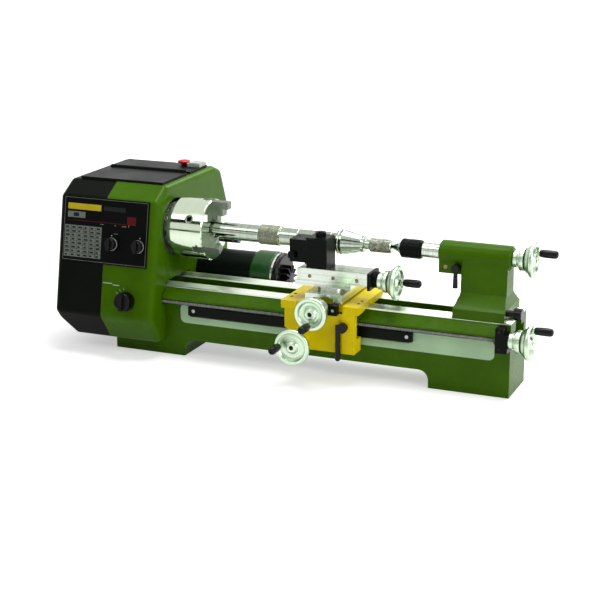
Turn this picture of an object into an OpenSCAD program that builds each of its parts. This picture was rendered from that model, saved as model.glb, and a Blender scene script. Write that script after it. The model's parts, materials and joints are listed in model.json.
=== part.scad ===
// Bench lathe with a belt drive, a change gear train, a carriage on prismatic ways and a tailstock.
// X runs along the bed towards the tailstock, Y away from the operator, Z up from the bench.
// Below the datum module, places are measured from the chuck's front face on the spindle axis.

/* [Bed] */
// Length of the bed casting
bed_len = 676; // [640:1:740]
// Width across the ways
bed_w = 90; // [84:1:100]
// Height of the ways' ridges above the bench
bed_h = 122; // [110:1:140]
// Spindle axis above the ways' ridges
swing_r = 85; // [80:1:95]
// Length of bed to the left of the chuck's face
bed_left = 165; // [155:1:175]
// Length of each foot
foot_len = 128; // [110:1:140]
// Height of the arch between the feet
arch_h = 28; // [20:1:36]
// Width of the gap between the two ways
way_gap = 34; // [28:1:40]
// Height of each prism way
way_v_h = 5.5; // [4:0.5:7]
// Width of each prism way
way_v_w = 15; // [12:1:18]
// Reach of the lip over the leadscrew
lip_reach = 15; // [14:0.5:16]
// Tapping size of the four bench bolt holes
bench_bolt_d = 8; // [6:0.5:10]
// Distance between the bench bolts across the bed
bench_bolt_y = 56; // [50:1:60]

/* [Headstock] */
// Length of the headstock housing
head_len = 182; // [170:1:195]
// Gap from the housing's end face to the chuck's front face
head_gap = 70; // [68:1:76]
// Length of the black cover at the left end
cover_len = 88; // [80:1:92]
// Wall of the housing and the cover
head_wall = 4; // [3:0.5:5]
// Rounding of the housing's edges
head_round = 10; // [6:1:12]
// Depth of the housing behind the spindle axis
head_back = 199; // [190:1:210]
// Height of the housing's top above the spindle axis
head_top = 72; // [68:1:78]
// Depth of the hinged lid over the belt
lid_depth = 86; // [80:1:92]
// Width of the lid and the plate behind it
lid_w = 152; // [140:1:156]
// Width of the control panel
panel_w = 158; // [140:1:160]
// Height of the control panel
panel_h = 107; // [100:1:110]
// Diameter of the feed selector
feed_knob_d = 30; // [26:1:40]
// Diameter of each rotary switch
switch_d = 20; // [16:1:24]

/* [Spindle and chuck] */
// Diameter of the chuck
chuck_d = 100; // [96:1:106]
// Length of the chuck
chuck_len = 58; // [54:1:60]
// Diameter of the hole through the spindle
spindle_bore_d = 20.5; // [18:0.5:22]
// Diameter of the spindle at its bearings
spindle_d = 35; // [32:1:38]
// Outer diameter of the spindle bearings
bearing_d = 62; // [56:1:66]
// Width of each spindle bearing
bearing_w = 16; // [14:1:20]
// Width of a chuck jaw
jaw_w = 13; // [11:1:14]
// Height of a jaw's outer step above the chuck's face
jaw_out = 28; // [24:1:30]
// Diameter of the turned workpiece at the chuck
work_d = 28; // [24:1:30]
// Diameter of the largest collar on the workpiece
collar_d = 40; // [34:1:41]

/* [Drive] */
// Diameter of the motor
motor_d = 86; // [80:1:92]
// Motor axis behind the spindle axis
motor_y = 105; // [102:1:112]
// Motor axis below the spindle axis
motor_drop = 100; // [96:1:106]
// Tooth module of the change gears and the rack
tooth_m = 1; // [1:0.05:1.05]
// Teeth on the spindle gear
spindle_teeth = 40; // [38:1:42]
// Teeth on the idler gear
idler_teeth = 80; // [79:1:84]
// Teeth on the feed gear
feed_teeth = 60; // [58:1:62]
// Width of the change gears
gear_w = 8; // [6:0.5:10]
// Width of the drive belt
belt_w = 9; // [8:0.5:10]
// Groove diameters of the pulley on the spindle, from the left
pulley_ds = [84, 68, 50];

/* [Carriage] */
// Leadscrew diameter
screw_d = 10; // [9:0.5:10.5]
// Distance from the chuck's face to the carriage's left edge
carriage_x = 153; // [150:1:165]
// Length of the saddle along the bed
saddle_len = 128; // [122:1:134]
// Width of each saddle wing
wing_w = 25; // [20:1:28]
// Height of the saddle's wings above the ways' ridges
saddle_rise = 5; // [4:0.5:6]
// Thickness of the apron plate
apron_t = 10; // [8:1:12]
// Height of the apron
apron_h = 76; // [72:1:80]
// Teeth on the rack pinion
pinion_teeth = 18; // [17:1:19]
// Length of the cross slide
cross_len = 144; // [136:1:150]
// Width of the cross slide
cross_w = 60; // [54:1:62]
// Length of the compound slide
compound_len = 111; // [104:1:118]
// Width of the compound slide
compound_w = 38; // [34:1:40]
// Width of the tool post along the bed
post_w = 44; // [40:1:46]
// Depth of the tool post
post_d = 36; // [32:1:38]
// Height of the tool post
post_h = 50; // [44:1:52]
// Side of the square tool slot
tool_slot = 10; // [8:1:12]

/* [Handwheels] */
// Diameter of the carriage handwheel
wheel_d = 58; // [56:1:60]
// Diameter of the tailstock, compound and leadscrew handwheels
end_wheel_d = 54; // [52:1:56]
// Diameter of the cross slide handwheel
cross_wheel_d = 52; // [50:1:53]
// Diameter of the graduated dial behind each wheel
dial_d = 35; // [32:1:36]
// Diameter of a crank grip
grip_d = 13; // [11:1:14]
// Length of a crank grip
grip_len = 28; // [24:1:32]
// Diameter of a grip's pin
pin_d = 6; // [5:0.5:7]

/* [Tailstock] */
// Distance from the chuck's face to the tailstock's nose
tail_x = 386; // [380:1:392]
// Length of the tailstock's barrel
barrel_len = 114; // [108:1:118]
// Diameter of the barrel
barrel_d = 38; // [36:1:42]
// Diameter of the quill
quill_d = 24; // [22:1:26]
// Length of the quill
quill_len = 112; // [108:1:116]
// Diameter of the live centre's head
centre_d = 30; // [26:1:32]

/* [Fits] */
// Radial clearance of shafts that turn in their holes
run_gap = 0.08; // [0.05:0.01:0.1]
// Clearance between sliding pieces
slide_gap = 0.1; // [0.05:0.05:0.2]
// Clearance between pieces that only pass each other
free_gap = 0.3; // [0.3:0.05:0.4]
// Backlash of the gear teeth
backlash = 0.25; // [0.2:0.05:0.4]

/* [Hidden] */
$fn = 64;

// Colours
green = [0.36, 0.50, 0.06];
dark = [0.07, 0.08, 0.07];
steel = [0.76, 0.78, 0.76];
silver = [0.84, 0.86, 0.85];
yellow = [0.86, 0.74, 0.08];

// Heights below the spindle axis
ridge_z = -swing_r;
way_z = ridge_z - way_v_h;
bench_z = ridge_z - bed_h;
arch_z = bench_z + arch_h;

// Places along the bed
bed_x0 = -bed_left;
bed_x1 = bed_x0 + bed_len;
bed_mid = (bed_x0 + bed_x1) / 2;
foot_x = bed_len / 2 - foot_len / 2;
half_bed = bed_w / 2;
way_mid = (half_bed + way_gap / 2) / 2;
way_t = 16;
trough_half = half_bed - 13;
trough_floor = arch_z + 10;
lip_drop = 13;
lip_t = 4;

// Front trim, rack and leadscrew
trim_x0 = -43;
trim_x1 = 487;
trim_t = 2;
trim_top = -118;
trim_bottom = -150;
rack_len = 384;
rack_x0 = -26;
rack_t = 6;
rack_top = -119.5;
rack_pitch_z = -136;
screw_y = -(half_bed + 6.5);
screw_z = -113;
leadscrew_x0 = -94;
bracket_x0 = 492;
bracket_x1 = 505;

// Headstock outline: its front leans back, with a bevel above and below
casing_x0 = -head_gap - head_len;
casing_x1 = -head_gap;
cover_x1 = casing_x0 + cover_len;
front_top_y = -60;
front_top_z = head_top - 21;
knuckle_y = -97;
knuckle_z = -138;
casing_bottom = -184;
lean = atan((front_top_y - knuckle_y) / (front_top_z - knuckle_z));
lid_y0 = -24;
lid_y1 = lid_y0 + lid_depth;
plate_y1 = 136;
lid_x0 = casing_x1 - 10 - lid_w;
lid_x1 = casing_x1 - 10;
lid_t = 4;
lid_z = head_top;
belt_room = 30;
hinge_r = 4;
hinge_pin_r = 2;
hinge_y = lid_y1 + hinge_r + 1;
hinge_z = lid_z + hinge_r;
panel_t = 2;
panel_x = casing_x0 + 10 + panel_w / 2;
panel_z = -2;
frame_x0 = cover_x1 - 11;
frame_plate_t = 8;
frame_x1 = casing_x1 - 8;

// Spindle and chuck
flange_t = 8;
flange_d = 84;
spindle_x0 = casing_x0 + 10;
spindle_x1 = -chuck_len;
bearing_xs = [frame_x1 - bearing_w, frame_x0 + frame_plate_t + 4];
chuck_bore_d = 33;
jaw_depth = 18;
jaw_rib_w = 5.4;
jaw_rib_t = 3.4;
jaw_angles = [90, 210, 330];
socket_angle = 150;
socket_x = -24;
socket_d = 14;
work_x0 = -20;
centre_hole = 4;
end_band_r = 11;

// Belt and pulleys. The two pulleys' groove diameters add up alike, so one belt fits each pair
belt_t = 6;
belt_pair = 0;
groove_deep = 5;
step_pitch = belt_w + 3;
pulley_x0 = spindle_x0 + 4;
pulley_sum = 118;
motor_ds = [for (d = pulley_ds) pulley_sum - d];
motor_x0 = frame_x0 + frame_plate_t;
motor_x1 = 79;
motor_shaft_r = 7;
motor_axis = [motor_y, -motor_drop];

// Change gears: the idler stands where its two centre distances meet
gear_x0 = frame_x0 - 20;
spindle_gear_r = tooth_m * spindle_teeth / 2;
idler_r = tooth_m * idler_teeth / 2;
feed_r = tooth_m * feed_teeth / 2;
gear_span = norm([screw_y, screw_z]);
to_feed = atan2(screw_z, screw_y);
near_d = spindle_gear_r + idler_r;
far_d = idler_r + feed_r;
bend_cos = (near_d * near_d + gear_span * gear_span - far_d * far_d) / (2 * near_d * gear_span);
idler_bend = acos(bend_cos);
to_idler = to_feed + idler_bend;
idler_y = near_d * cos(to_idler);
idler_z = near_d * sin(to_idler);
idler_to_feed = atan2(screw_z - idler_z, screw_y - idler_y);
idler_turn = to_idler + 180 + 180 / idler_teeth;
idler_pitch = 360 / idler_teeth;
idler_gap = idler_to_feed - idler_turn;
idler_off = idler_gap - idler_pitch * round(idler_gap / idler_pitch);
feed_turn = idler_to_feed + 180 + idler_off * idler_teeth / feed_teeth + 180 / feed_teeth;
stud_r = 6;
feed_shaft_len = 14;
seat_gap = 0.05;

// Carriage
saddle_x1 = carriage_x + saddle_len;
saddle_top = ridge_z + saddle_rise;
saddle_front = -82;
saddle_back = half_bed + 2;
apron_y0 = -80;
apron_y1 = apron_y0 + apron_t;
apron_x0 = carriage_x + 5;
apron_x1 = saddle_x1 - 6;
apron_bottom = saddle_top - apron_h;
pinion_r = tooth_m * pinion_teeth / 2;
pinion_x = carriage_x + 31;
pinion_z = rack_pitch_z - pinion_r;
shaft_r = 5;
lever_x = carriage_x + 104;
lever_z = -113;
cross_x = carriage_x + 71;
cross_screw_z = ridge_z + 3.6;
cross_screw_r = 3;
dovetail_w = 34;
dovetail_h = 7;
cross_y0 = saddle_front;
dovetail_z = saddle_top + 3;
cross_z0 = dovetail_z + slide_gap;
cross_t = 13;
cross_z1 = cross_z0 + cross_t;
bracket_t = 10;
swivel_y = -42;
swivel_d = 46;
swivel_t = 5;
base_t = 8;
base_z0 = cross_z1 + swivel_t;
base_z1 = base_z0 + base_t;
slide_z1 = base_z1 + 20;
compound_x0 = carriage_x + 24;
compound_x1 = compound_x0 + compound_len;
base_x1 = compound_x1 - 27;
compound_screw_z = base_z1 + 6;
post_x0 = compound_x0;
gib_foot = 8;
gib_top = 11;
gib_h = 10;
holder_w = 22;

// Handwheels
collar_r = 13;
rim_t = 6;
rim_w = 6;
hub_d = 18;
pin_in = 8;
boss_t = 4;
cross_wheel_y = saddle_front - bracket_t - slide_gap;
carriage_wheel_y = apron_y0 - boss_t - slide_gap;
// How far each wheel's front face stands from its bearing
tail_reach = 34;
screw_reach = 35;
compound_reach = 33;
cross_reach = 44;
carriage_reach = 31;
// Where each crank pin stands, as an angle about its wheel
tail_pin = 112;
screw_pin = 162;
compound_pin = 78;
cross_pin = 262;
carriage_pin = 180;

// Tailstock
barrel_x1 = tail_x + barrel_len;
tail_base_x0 = tail_x + 33;
tail_base_x1 = barrel_x1;
tail_base_z = ridge_z + 10;
quill_x0 = tail_x - 29;
quill_x1 = quill_x0 + quill_len;
tail_screw_r = 5;
back_wall = 10;
centre_len = 35;
centre_x0 = quill_x0 - centre_len;
cone_len = 18.7;
point_x = centre_x0 - cone_len;
work_x1 = point_x + centre_hole - free_gap;
lock_x = tail_x + 31;
lock_z = -18;
nose_y = 15;
lever_out = 10;
clamp_y = -30;
clamp_z = tail_base_z - 2.5;
clamp_plate_t = 10;
clamp_bolt_r = 6;

// Puts what is measured from the chuck's face and the spindle axis into the bench frame
module datum() translate([-bed_mid, 0, -bench_z]) children();

// Turns a drawing in Y and Z into a bar along X from x0 to x1
module along_x(x0, x1) translate([x0, 0, 0]) rotate([90, 0, 90]) linear_extrude(x1 - x0) children();

// A bar along X of radius r
module bar_x(x0, x1, r) translate([x0, 0, 0]) rotate([0, 90, 0]) cylinder(h = x1 - x0, r = r);

// A bar along Y of radius r
module bar_y(y0, y1, r) translate([0, y1, 0]) rotate([90, 0, 0]) cylinder(h = y1 - y0, r = r);

// A box between two corners
module block(low, high) translate(low) cube(high - low);

// A turned piece about X: the profile is a list of [radius, x]
module turned_x(profile) rotate([0, 90, 0]) rotate_extrude($fn = 96) polygon(profile);

// Involute tooth outline at pitch angle 20 degrees
pressure = 20;
function inv(a) = tan(a) * 180 / PI - a;
function half_tooth(teeth, m, r) =
  90 / teeth - backlash / (m * teeth) * 90 / PI + inv(pressure)
  - inv(acos(min(1, m * teeth / 2 * cos(pressure) / r)));
function tooth_radii(teeth, m) =
  let (rp = m * teeth / 2, rb = rp * cos(pressure), ra = rp + 0.9 * m, r0 = max(rb, rp - 0.95 * m))
  [for (k = [0:3]) r0 + (ra - r0) * k / 3];
function gear_points(teeth, m) = [
  for (t = [0:teeth - 1])
    let (rr = tooth_radii(teeth, m), root = m * teeth / 2 - 1.2 * m, a = 360 / teeth * t)
    each concat(
      [root * [cos(a - half_tooth(teeth, m, rr[0])), sin(a - half_tooth(teeth, m, rr[0]))]],
      [for (r = rr) r * [cos(a - half_tooth(teeth, m, r)), sin(a - half_tooth(teeth, m, r))]],
      [for (k = [3:-1:0]) rr[k] * [cos(a + half_tooth(teeth, m, rr[k])),
        sin(a + half_tooth(teeth, m, rr[k]))]],
      [root * [cos(a + half_tooth(teeth, m, rr[0])), sin(a + half_tooth(teeth, m, rr[0]))]]
    )
];
module gear(teeth, m, w, turn) linear_extrude(w) rotate(turn) polygon(gear_points(teeth, m));

// A ring gear blank along X with involute teeth, bored to bore_r
module gear_x(teeth, x0, w, turn, bore_r) difference() {
  translate([x0, 0, 0]) rotate([90, 0, 90]) gear(teeth, tooth_m, w, turn);
  bar_x(x0 - 1, x0 + w + 1, bore_r);
}

// Handwheel with collar, graduated dial, flared web, rim and crank pin. It faces the operator at +Z
module handwheel(d, reach, pin_angle) {
  r = d / 2;
  difference() {
    rotate_extrude($fn = 96) polygon([
      [0, 0], [collar_r - 1, 0], [collar_r, 1], [collar_r, 7], [collar_r - 2, 8], [collar_r - 2, 10],
      [dial_d / 2 - 0.5, 10], [dial_d / 2, 10.5], [dial_d / 2, reach - 14], [r - 1.5, reach - rim_t - 1],
      [r, reach - rim_t + 0.5], [r, reach - 1.5], [r - 1.5, reach], [r - rim_w, reach],
      [r - rim_w - 2, reach - 3.5], [hub_d / 2, reach - 3.5], [hub_d / 2, reach - 1],
      [hub_d / 2 - 2, reach + 1], [0, reach + 1]
    ]);
    translate([0, 0, reach - 1]) cylinder(h = 4, d = 5, $fn = 6);
  }
  rotate(pin_angle) translate([r - pin_in, 0, reach - 4]) cylinder(h = 5, d = pin_d + 4);
  rotate(pin_angle) translate([r - pin_in, 0, reach]) cylinder(h = grip_len - 5, d = pin_d);
}

// Crank grip that turns on the handwheel's pin
module grip(d, reach, pin_angle) {
  rotate(pin_angle) translate([d / 2 - pin_in, 0, reach + 1 + free_gap]) difference() {
    rotate_extrude() polygon([
      [0, 0], [grip_d / 2 - 2, 0], [grip_d / 2 - 0.5, 2], [grip_d / 2, grip_len - 6],
      [grip_d / 2 - 0.8, grip_len - 2.5], [grip_d / 2 - 3, grip_len], [0, grip_len]
    ]);
    translate([0, 0, -1]) cylinder(h = grip_len - 4, r = pin_d / 2 + run_gap);
  }
}

// Rotary knob on a flange, with a raised pointer bar. Its axis is Z
module knob(d, h, stem_r, stem_len) {
  cylinder(h = 3, d = d + 2);
  cylinder(h = h - 1, d = d - 2);
  translate([0, 0, h - 1]) cylinder(h = 1, d1 = d - 2, d2 = d - 4);
  intersection() {
    translate([-3, -d / 2, 0]) cube([6, d, h + 4]);
    cylinder(h = h + 4, d = d);
  }
  translate([0, 0, -stem_len]) cylinder(h = stem_len, r = stem_r);
}

// The leaning front of the housing
function front_y(z) = front_top_y + (z - front_top_z) * tan(lean);
module on_front(x, z) translate([x, front_y(z), z]) rotate([90 - lean, 0, 0]) children();

// Seat that rides the two prism ways, cut upwards from below
module way_seat(gap) {
  for (side = [-1, 1]) translate([side * way_mid, way_z])
    polygon([
      [-way_v_w / 2 - gap, -1], [-way_v_w / 2 - gap, gap], [0, way_v_h + 1.4 * gap],
      [way_v_w / 2 + gap, gap], [way_v_w / 2 + gap, -1]
    ]);
}

// Bed section across the ways
module bed_section() {
  difference() {
    union() {
      translate([-half_bed, bench_z]) square([bed_w, way_z - bench_z]);
      for (side = [-1, 1]) translate([side * way_mid, way_z])
        polygon([[-way_v_w / 2, -1], [-way_v_w / 2, 0], [0, way_v_h], [way_v_w / 2, 0], [way_v_w / 2, -1]]);
    }
    translate([-way_gap / 2, way_z - way_t - 1]) square([way_gap, way_t + 2]);
    translate([-trough_half, trough_floor]) square([2 * trough_half, way_z - way_t - trough_floor]);
  }
}

// A flat-topped arch with round upper corners
module arch(w, h, r) {
  translate([-w / 2, -1]) square([w, h - r + 1]);
  translate([-w / 2 + r, -1]) square([w - 2 * r, h + 1]);
  for (side = [-1, 1]) translate([side * (w / 2 - r), h - r]) circle(r = r);
}

module bed() color(green) datum() {
  difference() {
    union() {
      along_x(bed_x0, bed_x1) bed_section();
      along_x(casing_x1 + 1, bracket_x0 - free_gap) polygon([
        [-half_bed, way_z - 2], [-half_bed - lip_reach, way_z - 2 - lip_drop],
        [-half_bed - lip_reach, way_z - 2 - lip_drop - lip_t + 1],
          [-half_bed, way_z - 2 - lip_drop - lip_t + 3]
      ]);
      for (x = [bed_x0 + 5, bed_mid - 130, bed_mid - 15, bed_mid + 105, bed_x1 - 9])
        block([x, -trough_half, trough_floor - 1], [x + 9, trough_half, way_z - way_t - 18]);
    }
    translate([bed_mid, half_bed + 1, bench_z]) rotate([90, 0, 0])
      linear_extrude(bed_w + 2) arch(bed_len - 2 * foot_len, arch_h, 16);
    for (side = [-1, 1]) translate([bed_mid + side * foot_x, 0, bench_z])
      for (y = [-1, 1]) translate([0, y * bench_bolt_y / 2, -1]) cylinder(h = 23, d = bench_bolt_d);
    translate([0, -half_bed + trim_t, 0]) rotate([90, 0, 0]) linear_extrude(5) trim_shape(0);
    block([bed_x1 - 18, -way_gap / 2, way_z - way_t - 1], [bed_x1 + 1, way_gap / 2, way_z + 8]);
  }
}

// Outline of the trim plate on the bed's front
module trim_shape(gap) {
  r = 9;
  h = trim_top - trim_bottom;
  translate([trim_x0 + gap, trim_bottom + r]) square([trim_x1 - trim_x0 - 2 * gap, h - 2 * r]);
  translate([trim_x0 + r, trim_bottom + gap]) square([trim_x1 - trim_x0 - 2 * r, h - 2 * gap]);
  for (x = [trim_x0 + r, trim_x1 - r], z = [trim_bottom + r, trim_top - r])
    translate([x, z]) circle(r = r - gap);
}

module front_trim() color([0.66, 0.76, 0.64]) datum()
  translate([0, -half_bed + trim_t, 0]) rotate([90, 0, 0]) linear_extrude(trim_t) trim_shape(0.05);

// Rack bar: its teeth point down and mesh with the carriage pinion
module rack() color(dark) datum() {
  teeth = floor(rack_len / (PI * tooth_m));
  pitch = PI * tooth_m;
  phase = pinion_x - pitch * round((pinion_x - rack_x0) / pitch) + pitch / 2;
  root_z = rack_pitch_z + 1.2 * tooth_m;
  tip_z = rack_pitch_z - 0.9 * tooth_m;
  flank = tan(pressure);
  half = pitch / 4 - backlash / 4;
  difference() {
    translate([0, -half_bed, 0]) rotate([90, 0, 0]) linear_extrude(rack_t) polygon(concat(
      [[rack_x0 + rack_len, root_z], [rack_x0 + rack_len, rack_top], [rack_x0, rack_top], [rack_x0, root_z]],
      [for (k = [1:teeth - 2])
        let (x = phase + k * pitch)
        each [
          [x - half - flank * (root_z - rack_pitch_z), root_z],
            [x - half + flank * (rack_pitch_z - tip_z), tip_z],
          [x + half - flank * (rack_pitch_z - tip_z), tip_z],
            [x + half + flank * (root_z - rack_pitch_z), root_z]
        ]]
    ));
    for (x = [rack_x0 + 9, rack_x0 + rack_len / 2, rack_x0 + rack_len - 9])
      translate([x, 0, rack_top - 7.5]) bar_y(-half_bed - rack_t - 1, -half_bed - rack_t + 3, 3.2);
  }
}

// The housing's end outline in Y and Z, anticlockwise from the front bevel's lower edge
function casing_outline() = [
  [front_top_y, front_top_z], [knuckle_y, knuckle_z], [-65, casing_bottom], [head_back - 24, casing_bottom],
  [head_back, -150], [head_back, 2], [head_back - 24, head_top - 10], [head_back - 49, head_top],
  [lid_y0 - 1, head_top]
];

// The outline's corners moved inwards so that discs of radius r touch both neighbouring edges
function unit(v) = v / norm(v);
function inset(p, r) = [
  for (i = [0:len(p) - 1])
    let (
      u = unit(p[i] - p[(i + len(p) - 1) % len(p)]), v = unit(p[(i + 1) % len(p)] - p[i]),
      m = [-u[1], u[0]], n = [-v[1], v[0]]
    )
    p[i] + r * (m + n) / (1 + m * n)
];

// Rounded block with the housing's outline, shrunk by wall. An end with an edge radius is rounded
module head_block(x0, x1, wall, left_r, right_r) {
  hull() for (c = inset(casing_outline(), head_round)) {
    translate([x0 + left_r, c[0], c[1]]) end_round(head_round - wall, left_r, -1);
    translate([x1 - right_r, c[0], c[1]]) end_round(head_round - wall, right_r, 1);
  }
}

// A ball end where the edge is rounded, or a thin disc where it is square
module end_round(r, edge, side) {
  if (edge > 0) sphere(r = r, $fn = 28);
  else translate([side < 0 ? 0 : -0.5, 0, 0]) rotate([0, 90, 0]) cylinder(h = 0.5, r = r, $fn = 28);
}

module belt_opening()
  block([lid_x0 + 8, lid_y0 + 8, head_top - belt_room], [lid_x1 - 8, lid_y1 - 8, head_top + 1]);

module bed_cutaway() {
  block([bed_x0 - 3, -half_bed - free_gap, bench_z], [10, half_bed + free_gap, ridge_z + 1]);
  translate([0, screw_y, screw_z]) bar_x(casing_x1 - 20, casing_x1 + 1, screw_d / 2 + 1.5);
}

module headstock_casing() color(green) datum() difference() {
  head_block(cover_x1, casing_x1, 0, 0, head_round);
  head_block(cover_x1 - 1, casing_x1 - head_wall, head_wall, 0, head_round - head_wall);
  bar_x(casing_x1 - 20, casing_x1 + 1, flange_d / 2 + 5);
  translate([0, motor_axis[0], motor_axis[1]]) bar_x(casing_x1 - 20, casing_x1 + 1, motor_d / 2 - 3);
  belt_opening();
  bed_cutaway();
  translate([estop_x, estop_y, head_top - 3]) cylinder(h = 4, r = 5 + run_gap);
  on_front(feed_knob_x, feed_knob_z) translate([0, 0, -8]) cylinder(h = 20, r = 5 + run_gap);
  for (x = switch_xs) on_front(x, switch_z) translate([0, 0, -8]) cylinder(h = 20, r = 4.5);
}
feed_knob_x = casing_x0 + 134;
feed_knob_z = -110;
switch_xs = [casing_x0 + 104, casing_x0 + 153];
switch_z = -21;

// Wedge that cuts the cover's lower left corner, moved towards the inside by wall
module cover_wedge(wall) translate([wall, 0, wall * 0.6]) rotate([90, 0, 0])
  translate([0, 0, -head_back - 1])
  linear_extrude(head_back + 110) polygon([
    [casing_x0 - 20, knuckle_z + 2], [casing_x0, knuckle_z - 2], [casing_x0 + 26, casing_bottom],
    [casing_x0 + 26, casing_bottom - 20], [casing_x0 - 20, casing_bottom - 20]
  ]);

module end_cover() color(dark) datum() difference() {
  head_block(casing_x0, cover_x1, 0, head_round, 0);
  difference() {
    head_block(casing_x0 + head_wall, cover_x1 + 1, head_wall, head_round - head_wall, 0);
    cover_wedge(head_wall);
  }
  cover_wedge(0);
  bar_x(casing_x0 - 1, casing_x0 + 20, spindle_d / 2 - 2);
  belt_opening();
  bed_cutaway();
}

module top_plate() color(dark) datum() {
  difference() {
    block([lid_x0, hinge_y + hinge_r + 1, lid_z], [lid_x1, plate_y1, lid_z + lid_t]);
    for (x = [lid_x0 + 8, lid_x1 - 68], y = [hinge_y + 14, plate_y1 - 8])
      translate([x, y, lid_z + lid_t - 1.5]) cylinder(h = 2, d = 6);
    translate([estop_x, estop_y, lid_z - 1]) cylinder(h = lid_t + 2, r = 5 + run_gap);
  }
  for (x = [lid_x0 + 6, lid_x1 - 16]) {
    block([x, hinge_y + 2.5, lid_z], [x + 10, hinge_y + hinge_r + 2, lid_z + hinge_r]);
    translate([0, hinge_y, hinge_z]) bar_x(x, x + 10, hinge_r);
  }
  translate([0, hinge_y, hinge_z]) bar_x(lid_x0 + 7, lid_x1 - 7, hinge_pin_r);
}

module belt_lid() color(dark) datum() {
  x0 = lid_x0 + 16 + free_gap;
  x1 = lid_x1 - 16 - free_gap;
  difference() {
    union() {
      block([lid_x0, lid_y0, lid_z + slide_gap], [lid_x1, hinge_y - hinge_r - 1, lid_z + lid_t]);
      block([x0, hinge_y - hinge_r - 2, lid_z + slide_gap], [x1, hinge_y, lid_z + lid_t]);
      translate([0, hinge_y, hinge_z]) bar_x(x0, x1, hinge_r - slide_gap);
    }
    translate([0, hinge_y, hinge_z]) bar_x(x0 - 1, x1 + 1, hinge_pin_r + run_gap);
  }
}

module control_panel() color([0.05, 0.06, 0.06]) datum() difference() {
  on_front(panel_x, panel_z) translate([-panel_w / 2, -panel_h / 2, 0]) cube([panel_w, panel_h, panel_t]);
  for (x = switch_xs) on_front(x, switch_z) translate([0, 0, -1]) cylinder(h = 20, r = 4 + run_gap);
}

module main_switch() color(dark) datum()
  on_front(switch_xs[0], switch_z) translate([0, 0, panel_t + slide_gap]) knob(switch_d, 12, 4, 10);

module direction_switch() color(dark) datum()
  on_front(switch_xs[1], switch_z) translate([0, 0, panel_t + slide_gap]) knob(switch_d, 12, 4, 10);

module feed_knob() color(dark) datum()
  on_front(feed_knob_x, feed_knob_z) translate([0, 0, slide_gap]) knob(feed_knob_d, 16, 5, 10);

// Bearing block, gear plate and motor plate in one casting on the bed
module headstock_frame() color(steel) datum() {
  plate_x1 = frame_x0 + frame_plate_t;
  difference() {
    union() {
      along_x(plate_x1, frame_x1) difference() {
        translate([-half_bed + 1, way_z]) square([bed_w - 2, -way_z + bearing_d / 2 + 6]);
        way_seat(0.05);
        translate([-way_gap / 2, way_z - 1]) square([way_gap, 12]);
      }
      along_x(frame_x0, plate_x1) polygon([
        [-68, screw_z - 22], [-68, -60], [-half_bed, bearing_d / 2 + 6], [half_bed, bearing_d / 2 + 6],
        [motor_y + 40, -motor_drop + 40], [motor_y + 40, -motor_drop - 30],
        [motor_y - 40, -motor_drop - 40], [half_bed, screw_z - 22]
      ]);
      translate([0, idler_y, idler_z]) bar_x(gear_x0 - 4, frame_x0 + 1, stud_r);
      translate([0, idler_y, idler_z]) bar_x(gear_x0 + gear_w + free_gap, frame_x0 + 1, stud_r + 5);
      block([-118, screw_y - 12, screw_z - 14], [-100, -half_bed - 1, -60]);
      block([-118, -half_bed - 2, way_z + 2], [-100, -half_bed + 8, -60]);
    }
    bar_x(frame_x0 - 1, frame_x1 + 1, spindle_d / 2 + 2);
    for (x = bearing_xs) bar_x(x, x + bearing_w, bearing_d / 2);
    bar_x(frame_x1 - bearing_w, frame_x1 + 1, bearing_d / 2);
    block([frame_x0 + 40, -30, 8], [frame_x1 - 30, 30, bearing_d]);
    translate([0, screw_y, screw_z]) bar_x(frame_x0 - 1, plate_x1 + 1, stud_r + run_gap);
    translate([0, screw_y, screw_z]) bar_x(-119, -99, screw_d / 2 - 1 + run_gap);
    translate([0, motor_axis[0], motor_axis[1]]) bar_x(frame_x0 - 1, plate_x1 + 1, motor_shaft_r + 3);
  }
}

// Two plain rings stand for the spindle's ball bearings
module spindle_bearings() color(steel) datum() for (x = bearing_xs) difference() {
  bar_x(x, x + bearing_w, bearing_d / 2 - 0.03);
  bar_x(x - 1, x + bearing_w + 1, spindle_d / 2 + run_gap);
}

module spindle() color(silver) datum() turned_x([
  [spindle_bore_d / 2, spindle_x0], [spindle_d / 2 - 3, spindle_x0], [spindle_d / 2 - 3, gear_x0 + gear_w],
  [spindle_d / 2, gear_x0 + gear_w], [spindle_d / 2, spindle_x1 - flange_t],
  [flange_d / 2, spindle_x1 - flange_t], [flange_d / 2, spindle_x1],
  [spindle_bore_d / 2 + 2, spindle_x1], [spindle_bore_d / 2, spindle_x1 - 32]
]);

// Where each jaw slides: a slot with a rib groove on each side
module jaw_slot(gap, depth, r0, r1) {
  block([-depth, -jaw_w / 2 - gap, r0], [1, jaw_w / 2 + gap, r1]);
  block([-12 - gap, -jaw_w / 2 - jaw_rib_w / 2 - gap, r0],
    [-12 + jaw_rib_t + gap, jaw_w / 2 + jaw_rib_w / 2 + gap, r1]);
}

module chuck_body() color(silver) datum() difference() {
  turned_x([
    [chuck_bore_d / 2, -chuck_len], [chuck_d / 2 - 2, -chuck_len], [chuck_d / 2, -chuck_len + 2],
    [chuck_d / 2, -1.5], [chuck_d / 2 - 1.5, 0], [chuck_bore_d / 2 + 4, 0], [chuck_bore_d / 2 + 4, -2],
    [chuck_bore_d / 2, -2]
  ]);
  for (a = jaw_angles) rotate([a - 90, 0, 0]) jaw_slot(slide_gap, jaw_depth + free_gap, 0, chuck_d / 2 + 2);
  for (k = [0:2]) rotate([socket_angle - 90 + 120 * k, 0, 0])
    translate([socket_x, 0, chuck_d / 2 - 20]) cylinder(h = 21, r = socket_d / 2 + (k == 0 ? run_gap : -2));
}

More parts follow.
